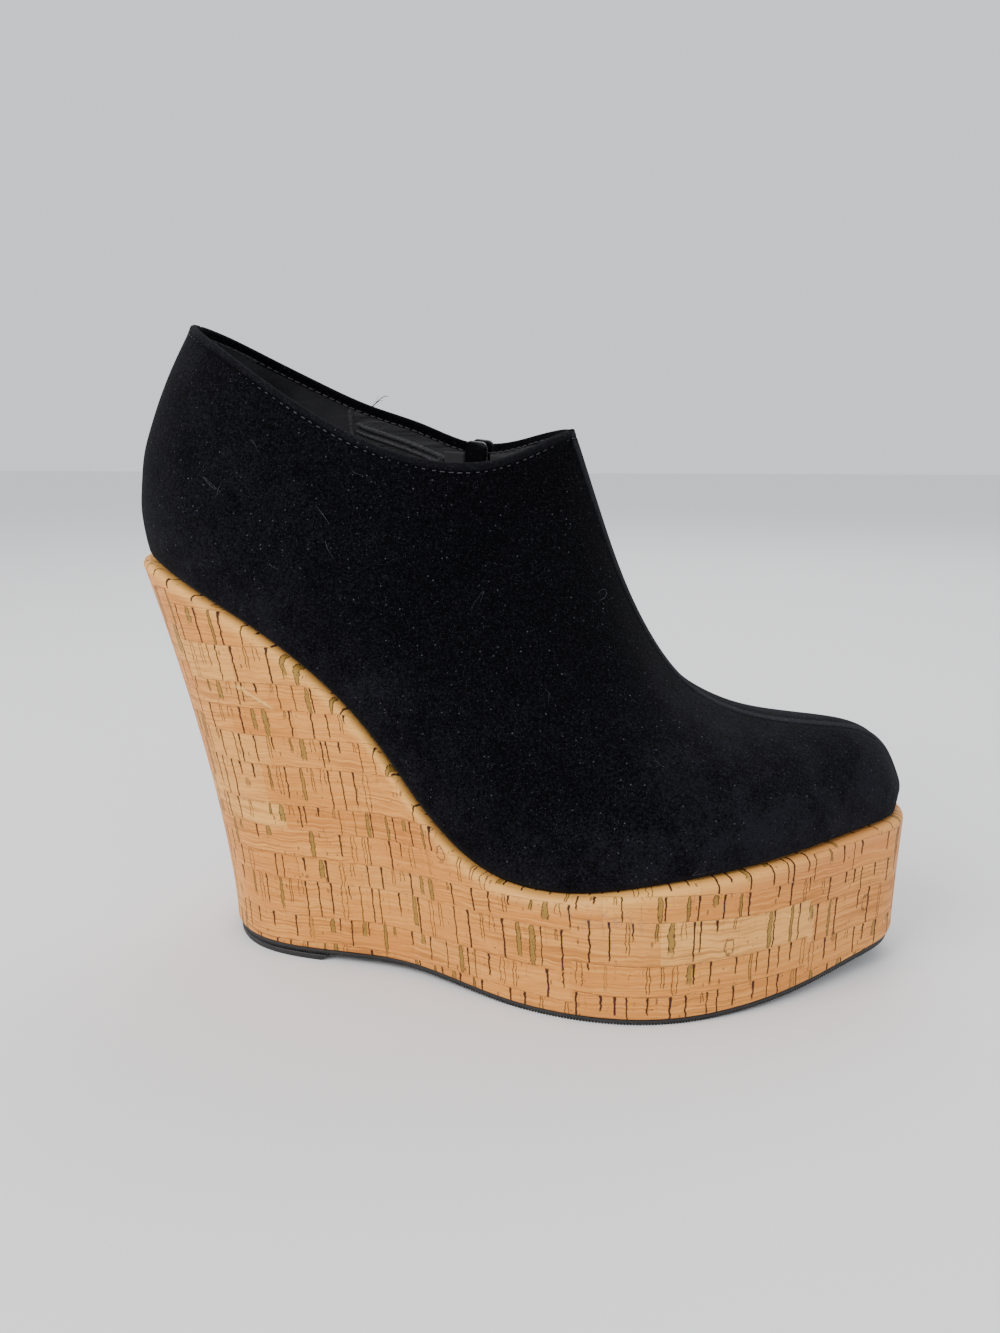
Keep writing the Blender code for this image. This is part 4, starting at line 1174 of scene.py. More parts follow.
    # A crease on the outer side: a raised ridge in the bump, with a painted highlight along it.
    across, down = (x + 72.4) * 0.48 + (z - 82.0) * 0.877, (x + 72.4) * 0.877 - (z - 82.0) * 0.48
    crease = 1.0 - (across + ragged * 1.6 - 0.8).abs().ramp(0.20, 1.0)
    crease = crease * (1.0 - down.abs().ramp(5.0, 8.0)) * outer
    scrawl = made.noise(made.place(), 0.20, 1.0, 0.5, 1.4)
    marks = (scrawl - 0.5).abs().fall(0.004, 0.030) * outer
    marks = marks * (x - 31.0).abs().fall(8.0, 12.0) * (z - 31.0).abs().fall(2.5, 5.0)
    colour = made.mix((warm * 0.55 + blotch * 0.5 - 0.08).held(), tuple(look.pale), tuple(look.warm))
    colour = made.mix((pale.ramp(0.72, 1.0) * 0.45).held(), colour, tuple(look.light))
    colour = made.mix((grain.ramp(0.46, 0.62) * (0.20 + strong * 0.40)).held(), colour, tuple(look.grain))
    colour = made.mix((grain.fall(0.36, 0.47) * 0.24).held(), colour, tuple(look.light))
    colour = made.mix((fine.ramp(0.50, 0.72) * 0.40).held(), colour, tuple(look.grain))
    # Painted highlight: lighter along the cork's rounded top edge.
    shoulder = top.fall(0.0004, 0.0050)
    colour = made.mix((shoulder * 0.45).held(), colour, tuple(look.light))
    # Painted shade: a darker band under the top edge towards the toe.
    toe = x.ramp(45.0, 100.0) * top.fall(0.001, 0.012)
    colour = made.mix(toe * 0.45, colour, (0.55, 0.17, 0.050))
    colour = made.mix(fleck * 0.75, colour, (0.12, 0.04, 0.015))
    colour = made.mix(dash * 0.62, colour, (0.075, 0.026, 0.010))
    seam = edge.fall(0.03, 0.20) * (0.25 + ragged.ramp(0.40, 0.55) * 0.75)
    seam = seam.most(joint.fall(0.02, 0.12) * 0.6 * ragged.ramp(0.40, 0.6))
    colour = made.mix(seam * 0.60, colour, (0.16, 0.06, 0.02))
    colour = made.mix(gold * 0.80, colour, tuple(look.gold))
    dark = made.mix(tone, (0.010, 0.004, 0.002), (0.042, 0.010, 0.006))
    colour = made.mix(thin * 0.65, colour, (0.16, 0.05, 0.02))
    colour = made.mix((rim * 0.97).held(), colour, dark)
    colour = made.mix(gold * dots * 0.75, colour, (0.07, 0.04, 0.015))
    colour = made.mix((slit * 0.97).held(), colour, dark)
    colour = made.mix((knot * (0.5 + dots * 0.45) + ring * 0.75).held(), colour, (0.09, 0.045, 0.025))
    colour = made.mix(marks * 0.42, colour, (0.20, 0.13, 0.11))
    # Painted highlight along the crease's ridge.
    colour = made.mix(crease * 0.55, colour, tuple(look.light))
    made.paint(colour)
    sunk = (slit * 0.8 + rim * 0.5 + knot * 0.5 + ring * 0.4 + seam * 0.35 + thin * 0.3).held()
    made.dull((0.50 + sunk * 0.35 + rough * 0.12).held())
    made.bump(fine * 0.22 + grain * 0.30 - sunk + crease * 2.2, 0.00030, 0.7)
    return made.material


@functools.cache
def rubber():
    """Black rubber, dulled by dust and scuffs."""
    made = Finish("rubber", (0.012, 0.012, 0.013), 0.6)
    place = made.place()
    dust_and_tone = made.noise(place, 0.12, 3.0, 0.6).ramp(0.45, 0.75)
    grain = made.noise(place, 5.0, 2.0, 0.6)
    scuff = made.noise(made.scaled(place, (0.5, 0.5, 3.0)), 1.0, 3.0, 0.7).ramp(0.55, 0.75)
    shade = (dust_and_tone * 0.5 + scuff * 0.35 + (grain - 0.5) * 0.3).held()
    made.paint(made.mix(shade, (0.008, 0.008, 0.009), (0.05, 0.048, 0.046)))
    made.dull(0.48 + dust_and_tone * 0.35)
    made.bump(grain * 0.5 + scuff * 0.6, 0.00012, 0.7)
    return made.material


@functools.cache
def smooth_lining():
    """Smooth dark grey lining with a fine grain and rubbed patches."""
    made = Finish("smooth lining", (0.05, 0.05, 0.055), 0.55)
    place = made.place()
    broad = made.noise(place, 0.06, 2.0, 0.5)
    rubbed = made.noise(made.scaled(place, (0.05, 0.3, 0.3)), 1.0, 3.0, 0.6).ramp(0.5, 0.7)
    grain, _ = made.cells(place, 2.2)
    shade = (broad.ramp(0.3, 0.75) * 0.6 + (grain - 0.4) * 0.25 + rubbed * 0.3).held()
    made.paint(made.mix(shade, (0.004, 0.004, 0.005), (0.030, 0.030, 0.034)))
    made.dull(0.45 + broad * 0.25)
    made.bump(grain * 0.5 + broad * 0.4, 0.00012, 0.6)
    return made.material


def woven(title, dark, light, pitch, relief, folds=0.0):
    """Cloth with threads over and under, at a pitch in millimetres, and soft folds that are raised in the
    bump and painted lighter and darker as light and shade.
    """
    made = Finish(title, light, 0.85)
    uv = made.node("ShaderNodeUVMap", {"uv_map": "wall"})
    across, along, _ = made.parts(made.scaled(uv, MM))
    turn = 2 * math.pi / pitch
    across_turns, along_turns = across * turn, along * turn
    cross = across_turns.math("SINE", across_turns) * along_turns.math("SINE", along_turns)
    cross = cross * 0.5 + 0.5
    place = made.place()
    fuzz = made.noise(place, 2.2, 2.0, 0.6)
    fold = made.noise(made.scaled(place, (0.06, 0.06, 0.30)), 1.0, 2.0, 0.5, 0.8)
    # The folds lighten and darken the colour: painted light and shade.
    shade = (cross * 0.6 + fuzz * 0.5 + (fold - 0.5) * folds).held()
    made.paint(made.mix(shade, dark, light))
    made.bump(cross + fuzz * 0.4 + fold * folds * 8.0, relief, 0.8)
    return made.material


@functools.cache
def fabric_lining():
    return woven("fabric lining", (0.005, 0.005, 0.006), (0.038, 0.038, 0.042), 0.9, 0.00018, 0.9)


@functools.cache
def tape_cloth():
    return woven("tape cloth", (0.008, 0.008, 0.009), (0.032, 0.032, 0.035), 0.7, 0.00018)


@functools.cache
def edge_cloth():
    """Turned cloth edges, paler and fuzzy where they are rubbed."""
    made = Finish("turned cloth", (0.05, 0.05, 0.055), 0.85)
    place = made.place()
    fuzz = made.noise(place, 1.8, 3.0, 0.7)
    strand = made.noise(place, 5.0, 2.0, 0.6)
    shade = (fuzz.ramp(0.35, 0.75) * 0.8 + (strand - 0.5) * 0.6).held()
    made.paint(made.mix(shade, (0.010, 0.010, 0.012), (0.080, 0.080, 0.088)))
    made.bump(fuzz * 0.6 + strand * 0.5, 0.00018, 0.8)
    return made.material


@functools.cache
def zip_metal():
    """Black enamelled metal, glossy and rubbed in places."""
    made = Finish("zip metal", (0.012, 0.012, 0.014), 0.2, Metallic=0.6)
    place = made.place()
    wear = made.noise(place, 0.9, 3.0, 0.6).ramp(0.55, 0.8)
    made.paint(made.mix(wear * 0.5, (0.010, 0.010, 0.012), (0.07, 0.07, 0.075)))
    made.dull(0.14 + wear * 0.25)
    made.bump(wear, 0.00003, 0.4)
    return made.material


# Colours of threads and fibres
STRANDS = {
    "grey thread": (0.050, 0.050, 0.058),
    "dark thread": (0.045, 0.045, 0.050),
    "lint": (0.13, 0.13, 0.155),
    "nap fibre": (0.050, 0.051, 0.062),
}


@functools.cache
def strand(title):
    """Twisted thread or a fibre, in one of the colours of STRANDS."""
    colour = STRANDS[title]
    made = Finish(title, colour, 0.8)
    twist = made.noise(made.place(), 3.5, 2.0, 0.6)
    dark = tuple(channel * 0.40 for channel in colour)
    made.paint(made.mix(twist.ramp(0.35, 0.65), dark, colour))
    made.bump(twist, 0.00015, 0.7)
    return made.material


def fine_grid(side):
    """Points [place, rise] of one side of the upper's outer face."""
    last = len(SECTION_ROWS) - 1
    places = np.linspace(0, last, last * FINE_PLACES + 1)
    rises = np.linspace(0, 1, FINE_RISES + 1)
    count = len(rises)
    grid = on_upper(side, np.repeat(places, count), np.tile(rises, len(places)))
    return places, grid.reshape(len(places), count, 3)


def merged_normals(grids):
    """Unit normals of two grids that share their joined edges."""
    keys, normals = [], []
    for side, grid in grids.items():
        across = np.zeros_like(grid)
        a, b, c, d = grid[:-1, :-1], grid[1:, :-1], grid[1:, 1:], grid[:-1, 1:]
        face = side * np.cross(c - a, d - b)
        for part, rows in ((np.s_[:-1], np.s_[:-1]), (np.s_[1:], np.s_[:-1]),
                           (np.s_[1:], np.s_[1:]), (np.s_[:-1], np.s_[1:])):
            across[part, rows] += face
        keys.append(np.round(grid.reshape(-1, 3) / (2 * MERGE)).astype(np.int64))
        normals.append(across.reshape(-1, 3))
    keys, normals = np.concatenate(keys), np.concatenate(normals)
    _, index = np.unique(keys, axis=0, return_inverse=True)
    total = np.zeros((index.max() + 1, 3))
    np.add.at(total, index.reshape(-1), normals)
    shared = unit(total)[index.reshape(-1)]
    half = len(shared) // 2
    shape = next(iter(grids.values())).shape
    return {side: shared[i * half : (i + 1) * half].reshape(shape) for i, side in enumerate(grids)}


def strip_faces(start, rows, columns, flip):
    """Faces of a grid of points stored row after row."""
    faces = []
    for i in range(rows - 1):
        for a in range(start + i * columns, start + (i + 1) * columns - 1):
            b = a + columns
            faces.append((a, a + 1, b + 1, b) if flip else (a, b, b + 1, a + 1))
    return faces


def build_cork():
    """The wrapped block: side wall, rounded shoulder and the ledge under the upper."""
    low, high = bottom_outline()[::FINE_STEP], top_outline()[::FINE_STEP]
    bottom = ground_height(low[:, 0]) + OUTSOLE + GAP
    shoulder = seat_height(high[:, 0]) - EDGE_ROUND
    rings = []
    for angle in np.radians((0.0, 30.0, 60.0)):
        ring = inset(low, BOTTOM_ROUND * (1 - math.sin(angle)))
        rings.append(with_height(ring, bottom + BOTTOM_ROUND * (1 - math.cos(angle))))
    for share in np.linspace(0, 1, CORK_RINGS):
        start = bottom + BOTTOM_ROUND
        ring = low + (high - low) * share**LEAN_POWER
        rings.append(with_height(ring, start + (shoulder - start) * share))
    for angle in np.radians((15.0, 30.0, 45.0, 60.0, 75.0, 90.0)):
        ring = inset(high, EDGE_ROUND * (1 - math.cos(angle)))
        rings.append(with_height(ring, seat_height(ring[:, 0]) - EDGE_ROUND * (1 - math.sin(angle))))
    for more in (0.0015, 0.003):
        ring = inset(high, EDGE_ROUND + more)
        rings.append(with_height(ring, seat_height(ring[:, 0])))
    wall = np.array(rings)
    points, faces = block(wall)
    count = wall.shape[1]
    middle = wall[CORK_RINGS // 2 - 3]
    run = np.concatenate([[0], np.cumsum(np.linalg.norm(np.roll(middle, -1, 0) - middle, axis=1))])
    up = np.zeros(wall.shape[:2])
    steps = np.linalg.norm(np.diff(wall, axis=0), axis=2)
    up[0] = wall[0, :, 2]
    for k in range(1, len(wall)):
        rise = wall[k, :, 2] - wall[k - 1, :, 2]
        up[k] = up[k - 1] + (rise if 3 <= k < 3 + CORK_RINGS else steps[k - 1])
    uvs = []
    for face in faces:
        k, i = divmod(face[0], count)
        if face[-1] // count == k:
            uvs += [tuple(points[index][:2]) for index in face]
            continue
        left, right = run[i : i + 2] - (run[-1] if i >= count // 2 else 0.0)
        j = face[1] % count
        uvs += [(left, up[k, i]), (right, up[k, j]), (right, up[k + 1, j]), (left, up[k + 1, i])]
    piece = to_object("cork_wrap", points, faces, [cork()], smooth=40.0, uvs=uvs)
    here = points_of(piece.data)
    point_values(piece.data, "top", seat_height(here[:, 0]) - here[:, 2])
    return piece


def both_sides(line):
    """One line from the toe or the collar's tip round the back and forward again."""
    return np.concatenate([line(-1)[0], line(1)[0][::-1]])


@functools.cache
def shell():
    """Fine grids of both quarters, their normals, and their distances to the collar and seam."""
    grids = {}
    for side in (-1, 1):
        places, grid = fine_grid(side)
        grids[side] = eased(grid)
    normals = merged_normals(grids)
    edge, seam = both_sides(topline), centre_seam()[0]
    to_edge, to_seam = {}, {}
    for side, grid in grids.items():
        flat = grid.reshape(-1, 3)
        to_edge[side] = distances(flat, edge).reshape(grid.shape[:2])
        to_seam[side] = distances(flat, seam).reshape(grid.shape[:2])
    return section_columns(places)[1], grids, normals, to_edge, to_seam


def eased(grid):
    """The grid with the fold below the collar's tip smoothed out, its borders kept."""
    far = np.linalg.norm(grid - centre_seam()[0][-1], axis=2)
    weight = 0.5 * (1 - smoothstep((far - 0.02) / EASE_REACH))[1:-1, 1:-1, None]
    for _ in range(EASE_STEPS):
        middle = (grid[2:, 1:-1] + grid[:-2, 1:-1] + grid[1:-1, 2:] + grid[1:-1, :-2]) / 4
        grid[1:-1, 1:-1] += weight * (middle - grid[1:-1, 1:-1])
    return grid


def below_edge(side, depth, lift=0.0):
    """The line at a depth below the collar's edge, from the front to the back, and its normals."""
    top, grids, normals, to_edge, _ = shell()
    line, outs = [], []
    for row, points, out, place in zip(to_edge[side], grids[side], normals[side], top):
        close = np.nonzero(row < depth)[0]
        if place < 0.985 or len(close) == 0 or close[0] == 0:
            continue
        j = close[0]
        share = (row[j - 1] - depth) / (row[j - 1] - row[j])
        outs.append(out[j - 1] + share * (out[j] - out[j - 1]))
        line.append(points[j - 1] + share * (points[j] - points[j - 1]) + outs[-1] * lift)
    return np.array(line), unit(np.array(outs))


def up_wall(side, x, start=0.0, end=1.0, lift=0.0, count=40):
    """The line up one quarter at a length, between two shares of its rise, and its normals."""
    _, grids, normals, _, _ = shell()
    grid, out = grids[side], normals[side]
    line, outs = [], []
    for j in range(grid.shape[1]):
        order = np.argsort(grid[:, j, 0])
        run = grid[order, j, 0]
        line.append([np.interp(x, run, grid[order, j, axis]) for axis in range(3)])
        outs.append([np.interp(x, run, out[order, j, axis]) for axis in range(3)])
    share = np.linspace(start, end, count) * (len(line) - 1)
    steps = np.arange(len(line))
    line = np.stack([np.interp(share, steps, column) for column in np.array(line).T], 1)
    outs = unit(np.stack([np.interp(share, steps, column) for column in np.array(outs).T], 1))
    return line + outs * lift, outs


def build_shell():
    """Outer face, rolled rim and lining face of both quarters as one closed wall."""
    top, grids, normals, edge_far, seam_far = shell()
    look = bpy.context.scene.boot_shape
    first = int(np.searchsorted(top, 1.0 - 1e-9))
    back = grids[1][-1]
    points, faces, slots = [], [], []
    for side, grid in grids.items():
        rows, columns = grid.shape[:2]
        flat, out = grid.reshape(-1, 3), normals[side].reshape(-1, 3)
        to_edge, to_seam = edge_far[side].ravel(), seam_far[side].ravel()
        to_back = distances(flat, back)
        rise = np.tile(np.linspace(0, 1, columns), rows)
        along = np.clip(np.repeat(top, columns), 0, 1)
        fade = smoothstep(along / 0.05) * smoothstep((1.02 - along) / 0.05)
        fold = look.turned_edge * (1 - smoothstep((to_edge - FOLD_WIDTH) / FOLD_FADE))
        sewn = -SEWN_SINK * hill(to_edge, STITCH_DEPTH, SEWN_WIDTH)
        ridge = look.seam_ridge * hill(to_seam, 0.0, RIDGE_WIDTH) * fade
        groove = -GROOVE_SHARE * look.seam_ridge * hill(to_seam, GROOVE_PLACE, GROOVE_WIDTH) * fade
        slit = -BACK_SINK * hill(to_back, 0.0, BACK_WIDTH)
        calm = smoothstep(to_edge / 0.02) * smoothstep(to_seam / 0.012) * smoothstep(rise / 0.25)
        waves = sum(strength * ripple(flat, length, seed) for length, strength, seed in WAVES)
        tuck = -TUCK_SINK * (1 - smoothstep(rise / TUCK_RISE)) ** 2
        pushed = fold + sewn + ridge + groove + slit + tuck + look.unevenness * calm * waves
        lifted = (flat + out * pushed[:, None]).reshape(grid.shape)
        inner = grid - normals[side] * (WALL + 0.25 * fold).reshape(rows, columns, 1)
        ups = unit(grid[:, -1] - grid[:, -2])
        a, b = lifted[first:, -1], inner[first:, -1]
        half = (a - b) / 2
        size = np.linalg.norm(half, axis=1)[:, None]
        upwards = unit(ups[first:] - unit(half) * (ups[first:] * unit(half)).sum(1)[:, None])
        rim = np.stack([
            (a + b) / 2 + half * math.cos(turn) + upwards * size * math.sin(turn)
            for turn in np.linspace(0, math.pi, RIM_STEPS)
        ], 1)
        feet = np.stack([inner[:, 0], lifted[:, 0]], 1)
        for sheet_points, turned in ((lifted, side > 0), (inner, side < 0), (rim, side > 0),
                                     (feet, side > 0)):
            start = len(points)
            points.extend(sheet_points.reshape(-1, 3))
            made = strip_faces(start, len(sheet_points), sheet_points.shape[1], turned)
            faces.extend(made)
            if sheet_points is not inner:
                slots.extend([0] * len(made))
                continue
            for face in made:
                row, column = divmod(face[0] - start, columns)
                near_edge = to_edge[row * columns + column] < 0.0024 and top[row] >= 0.98
                smooth = inner[row, column, 0] < HEEL_LINING_FRONT
                slots.append(0 if near_edge else 1 if smooth else 2)
    points = np.array(points)
    loops = [index for face in faces for index in face]
    uvs = points[loops][:, [0, 2]]
    finishes = [suede(), smooth_lining(), fabric_lining()]
    return to_object("suede_upper", points, faces, finishes, slots, 180.0, uvs)


def cut_slot(piece):
    """Takes the zip's slot out of the wall."""
    points, faces = zip_strip(-SLIDER_LENGTH, ZIP_LENGTH, ZIP_SLOT, -2 * WALL, 2 * WALL, 4)
    cutter = to_object("slot_cutter", points, faces)
    modifier = piece.modifiers.new("slot", "BOOLEAN")
    modifier.operation, modifier.solver, modifier.object = "DIFFERENCE", "EXACT", cutter
    plain(piece)
    bpy.data.objects.remove(cutter, do_unlink=True)
    here = points_of(piece.data)
    for title, line in (("edge", both_sides(topline)), ("seam", centre_seam()[0]),
                        ("feather", both_sides(feather_line)), ("back", shell()[1][1][-1])):
        point_values(piece.data, title, distances(here, line))


def slot_line(aside, end, lift=0.0, start=0.0):
    """Down beside the slot, round its end and up again, with the normals of the face."""
    corner = SLOT_CORNER
    turns = np.linspace(0, math.pi / 2, 6)[1:-1]
    down = np.linspace(start, end - corner, 60)
    side_downs = np.concatenate([down, end - corner + corner * np.sin(turns), [end]])
    side_asides = np.concatenate([
        np.full(60, aside), aside - corner * (1 - np.cos(turns)), [aside - corner]])
    downs = np.concatenate([side_downs, side_downs[::-1]])
    asides = np.concatenate([-side_asides, side_asides[::-1]])
    line = zip_points(downs, asides, 0.0)
    outs = unit(zip_points(downs, asides, MM * MERGE) - line)
    return line + outs * lift, outs


class BOOT_OT_stitches(bpy.types.Operator):
    """Sew the topline, the zip's slot and the lining with rows of thread"""

    bl_idname = "boot.stitches"
    bl_label = "Stitches"

    def execute(self, context):
        look = context.scene.boot_thread
        outside = [below_edge(side, STITCH_DEPTH, -0.0001) for side in (-1, 1)]
        inside = [below_edge(side, STITCH_DEPTH, -WALL - 0.00015) for side in (-1, 1)]
        inside = [(line, -outs) for line, outs in inside]
        beside = slot_line(ZIP_SLOT / 2 + SLOT_STITCH, ZIP_LENGTH + SLOT_STITCH, 0.0, 0.004)
        for title, rows, finish, seed, slot in (
            ("topline_stitches", outside, strand("grey thread"), 4, "suede"),
            ("lining_stitches", inside, strand("dark thread"), 5, "lining"),
            ("slot_stitches", [beside], strand("grey thread"), 6, "suede"),
        ):
            shape = stitch_shape(look.stitch, look.thickness / 2)
            settle(row_of(title, rows, shape, look.pitch, finish, 0.10, seed))
        return {"FINISHED"}


class BOOT_OT_lining(bpy.types.Operator):
    """Lay the heel lining's raised front edge, the facing's folds and the sock"""

    bl_idname = "boot.lining"
    bl_label = "Lining"

    def execute(self, context):
        solids = []
        for side in (-1, 1):
            line, outs = up_wall(side, HEEL_LINING_FRONT, 0.04, 0.955, INSIDE)
            solids.append(tube(line, 0.0009, outs, 8, 0.5))
        settle_solids("heel_lining_edge", solids, edge_cloth())
        solids = []
        for depth, radius in FACING_FOLDS:
            for side in (-1, 1):
                line, outs = below_edge(side, depth, INSIDE)
                keep = line[:, 0] > HEEL_LINING_FRONT + 0.001
                if side > 0:
                    keep &= np.abs(line[:, 0] - slider_frame()[0][0]) > FACING_CUT
                for part in np.split(np.arange(len(line)), np.nonzero(np.diff(keep))[0] + 1):
                    if keep[part[0]] and len(part) > 3:
                        solids.append(tube(line[part], radius, outs[part], 8, 0.7))
        settle_solids("collar_facing", solids, edge_cloth())
        downs = np.linspace(0.004, ZIP_LENGTH + 0.004, 50)
        solids = []
        for aside in (-FACING_ASIDE, FACING_ASIDE):
            line = zip_points(downs, np.full(50, aside), -WALL - 0.0003)
            outs = unit(line - zip_points(downs, np.full(50, aside), -2 * WALL))
            solids.append(tube(line, 0.0011, outs, 8, 0.6))
        settle_solids("zip_facing", solids, edge_cloth())
        settle(build_sock(), ["insole"])
        return {"FINISHED"}


def build_sock():
    """The covered insole: rounded edge, a shallow bed at the heel and ball, and a turned seam."""
    dense = top_outline()
    slope = np.gradient(seat_height(np.linspace(0, LENGTH, DENSE)), LENGTH / (DENSE - 1))
    rows = []
    for more, up in ((0.0, 0.0), (0.0, 0.35), (0.00018, 0.72), (0.0007, 0.95), (0.0016, 1.0),
                     (0.0028, 0.97), (0.0045, 1.0), (0.008, 0.98), (0.012, 0.93), (0.016, 0.88)):
        loop = inset(dense, LEDGE + WALL - GAP + more)[::FINE_STEP]
        steep = np.interp(loop[:, 0], np.linspace(0, LENGTH, DENSE), slope)
        thick = INSOLE * np.hypot(1, steep)
        rows.append(with_height(loop, seat_height(loop[:, 0]) + GAP + thick * up))
    return to_object("sock", *block(rows), [smooth_lining()], smooth=60.0)


def half_tape(side):
    """Points and quads of one half of the tape, without the slider's notch."""
    back = -WALL - TAPE_GAP - TAPE / 2
    downs = np.linspace(TAPE_TOP, ZIP_LENGTH + TAPE_END, 90)
    asides = side * np.linspace(0.0007, TAPE_WIDTH / 2, 18)
    down, aside = (axis.ravel() for axis in np.meshgrid(downs, asides, indexing="ij"))
    bead = 0.0003 * hill(np.abs(aside), 0.0030, 0.0006)
    points = zip_points(down, aside, (back + bead)[:, None])
    end = SLIDER_LENGTH - SLIDER_PROUD + SLIDER_CLEARANCE
    room = SLIDER_WIDTH / 2 + SLIDER_CLEARANCE
    faces = [
        face for face in strip_faces(0, len(downs), len(asides), side < 0)
        if down[face[0]] > end or min(abs(aside[index]) for index in face) > room
    ]
    uvs = [(aside[index], down[index]) for face in faces for index in face]
    return points, faces, uvs


class BOOT_OT_zip(bpy.types.Operator):
    """Build the woven tape, its teeth, the slot's turned edge, the slider and the pull"""

    bl_idname = "boot.zip"
    bl_label = "Zip"

    def execute(self, context):
        halves = [half_tape(side) for side in (-1, 1)]
        points, faces = joined([half[:2] for half in halves])
        uvs = halves[0][2] + halves[1][2]
        tape = to_object("woven_tape", points, faces, [tape_cloth()], uvs=uvs, smooth=180.0)
        wall = tape.modifiers.new("thickness", "SOLIDIFY")
        wall.thickness, wall.offset = TAPE, 0.0
        settle(plain(tape), ["zip_tape"])
        look = context.scene.boot_zip
        back = -WALL - TAPE_GAP + CHAIN_THICKNESS / 2 + GAP
        start = SLIDER_LENGTH - SLIDER_PROUD + GAP
        reach = CHAIN_WIDTH * TOOTH_REACH
        for title, side, late, nodes in (("left", -1, 0.0, ["zip_chain"]),
                                         ("right", 1, look.tooth_pitch / 2, ())):
            downs = np.linspace(start + late, ZIP_LENGTH - GAP, 120)
            asides = np.full(120, side * CHAIN_WIDTH * TOOTH_ASIDE)
            line = zip_points(downs, asides, back)
            outs = unit(zip_points(downs, asides, 1.0) - line)
            shape = tooth_shape(reach, look.tooth_pitch * TOOTH_WIDTH, CHAIN_THICKNESS)
            if side > 0:
                shape.transform(Matrix.Rotation(math.pi, 4, "Z"))
            teeth = row_of(f"zip_teeth_{title}", [(line, outs)], shape, look.tooth_pitch,
                           zip_metal())
            settle(teeth, nodes)
        line, outs = slot_line(ZIP_SLOT / 2 + SLOT_EDGE_ASIDE, ZIP_LENGTH + SLOT_EDGE_ASIDE,
                               -SLOT_EDGE_SINK, 0.0003)
        edge = to_object("slot_edge", *tube(line, SLOT_EDGE_RADIUS, outs, 10), [suede()])
        here = points_of(edge.data)
        for title, far in (("edge", 0.1), ("seam", 0.1), ("feather", 0.06), ("back", 0.1)):
            point_values(edge.data, title, np.full(len(here), far))
        settle(edge)
        for node, title, body in (("zip_slider", "slider_body", BODY), ("zip_pull", "pull_tab", "pull")):
            settle(rounded_copy(node, title, look.rounding), [node], body)
        return {"FINISHED"}


def rounded_copy(node, title, rounding):
    """A solid's own shape with its edges rounded and its faces shaded round."""
    mesh = cleaned(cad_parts[node].data.copy(), flat=math.radians(1.0))
    mesh.materials.clear()
    piece = linked(title, mesh)
    mesh.materials.append(zip_metal() if "zip" in node else rubber())
    bevel = piece.modifiers.new("rounding", "BEVEL")
    bevel.width, bevel.segments, bevel.limit_method = rounding, 2, "ANGLE"
    bevel.angle_limit = math.radians(30.0)
    shaded(plain(piece).data)
    return piece


class BOOT_OT_sole(bpy.types.Operator):
    """Build the rubber outsole with its ribbed rim and tread, and the heel's top piece"""

    bl_idname = "boot.sole"
    bl_label = "Sole"

    def execute(self, context):
        look = context.scene.boot_sole
        dense = inset(bottom_outline(), OUTSOLE_INSET)
        deep = look.tread
        rows = []
        for more, up in ((0.0030, deep), (0.0012, deep), (0.0004, deep + 0.0001),
                         (0.0001, 0.0006), (0.0, 0.0009), (0.0, 0.0014), (0.0002, OUTSOLE)):
            loop = inset(dense, more)[::FINE_STEP]
            rows.append(with_height(loop, ground_height(loop[:, 0]) + up))
        piece = to_object("rubber_sole", *block(rows), [rubber()], smooth=50.0)
        settle(piece, ["outsole"])
        loop = inset(dense, RIB_INSET)
        line = with_height(loop, ground_height(loop[:, 0]) + RIB_RISE)
        normal = np.column_stack([outwards(loop), np.zeros(len(loop))])
        shape = box_shape(look.rib * RIB_WIDTH, 0.0009, 0.0008, 0.8)
        shape.transform(Matrix.Rotation(-math.pi / 2, 4, "X"))
        ribs = row_of("sole_ribs", [(line, normal)], shape, look.rib, rubber(), closed=True)
        settle(ribs)
        settle(build_tread(dense, deep))
        lift = rounded_copy("heel_lift", "top_piece", 0.0003)
        settle(lift, ["heel_lift"])
        return {"FINISHED"}


def build_tread(dense, deep):
    """Ribs across the underside of the forefoot and waist, down to the ground."""
    solids = []
    inside = inset(dense, TREAD_EDGE)
    for x in np.arange(TREAD_START, LENGTH - 0.012, TREAD_PITCH):
        near = np.abs(inside[:, 0] - x)
        half = len(inside) // 2
        outer = inside[:half][near[:half].argmin()][1]
        inner = inside[half:][near[half:].argmin()][1]
        ys = np.linspace(outer, inner, 9)
        xs = x + 0.0012 * np.abs(np.linspace(-1, 1, 9))
        low = ground_height(xs) + 0.00005
        rings = []
        for place, y, z in zip(xs, ys, low):
            rings.append(np.array([(place - 0.0007, y, z), (place + 0.0007, y, z),
                                   (place + 0.001, y, z + deep), (place - 0.001, y, z + deep)]))
        solids.append(loft(rings))
    return to_object("sole_tread", *joined(solids), [rubber()], smooth=30.0)


def under_pixel(pixel, tree):
    """Place and outward direction on a surface under a place of the photograph's frame."""
    x, y = (pixel[0] - IMAGE[0] / 2) / FOCAL_PIXELS, (IMAGE[1] / 2 - pixel[1]) / FOCAL_PIXELS
    way = VIEW_TURN.to_matrix() @ Vector((x, y, -1.0))
    place, normal, _, _ = tree.ray_cast(Vector(CAMERA_PLACE), way)
    if place is None:
        raise RuntimeError(f"nothing lies under {pixel}")
    return np.array(place) - SHIFT, np.array(normal)


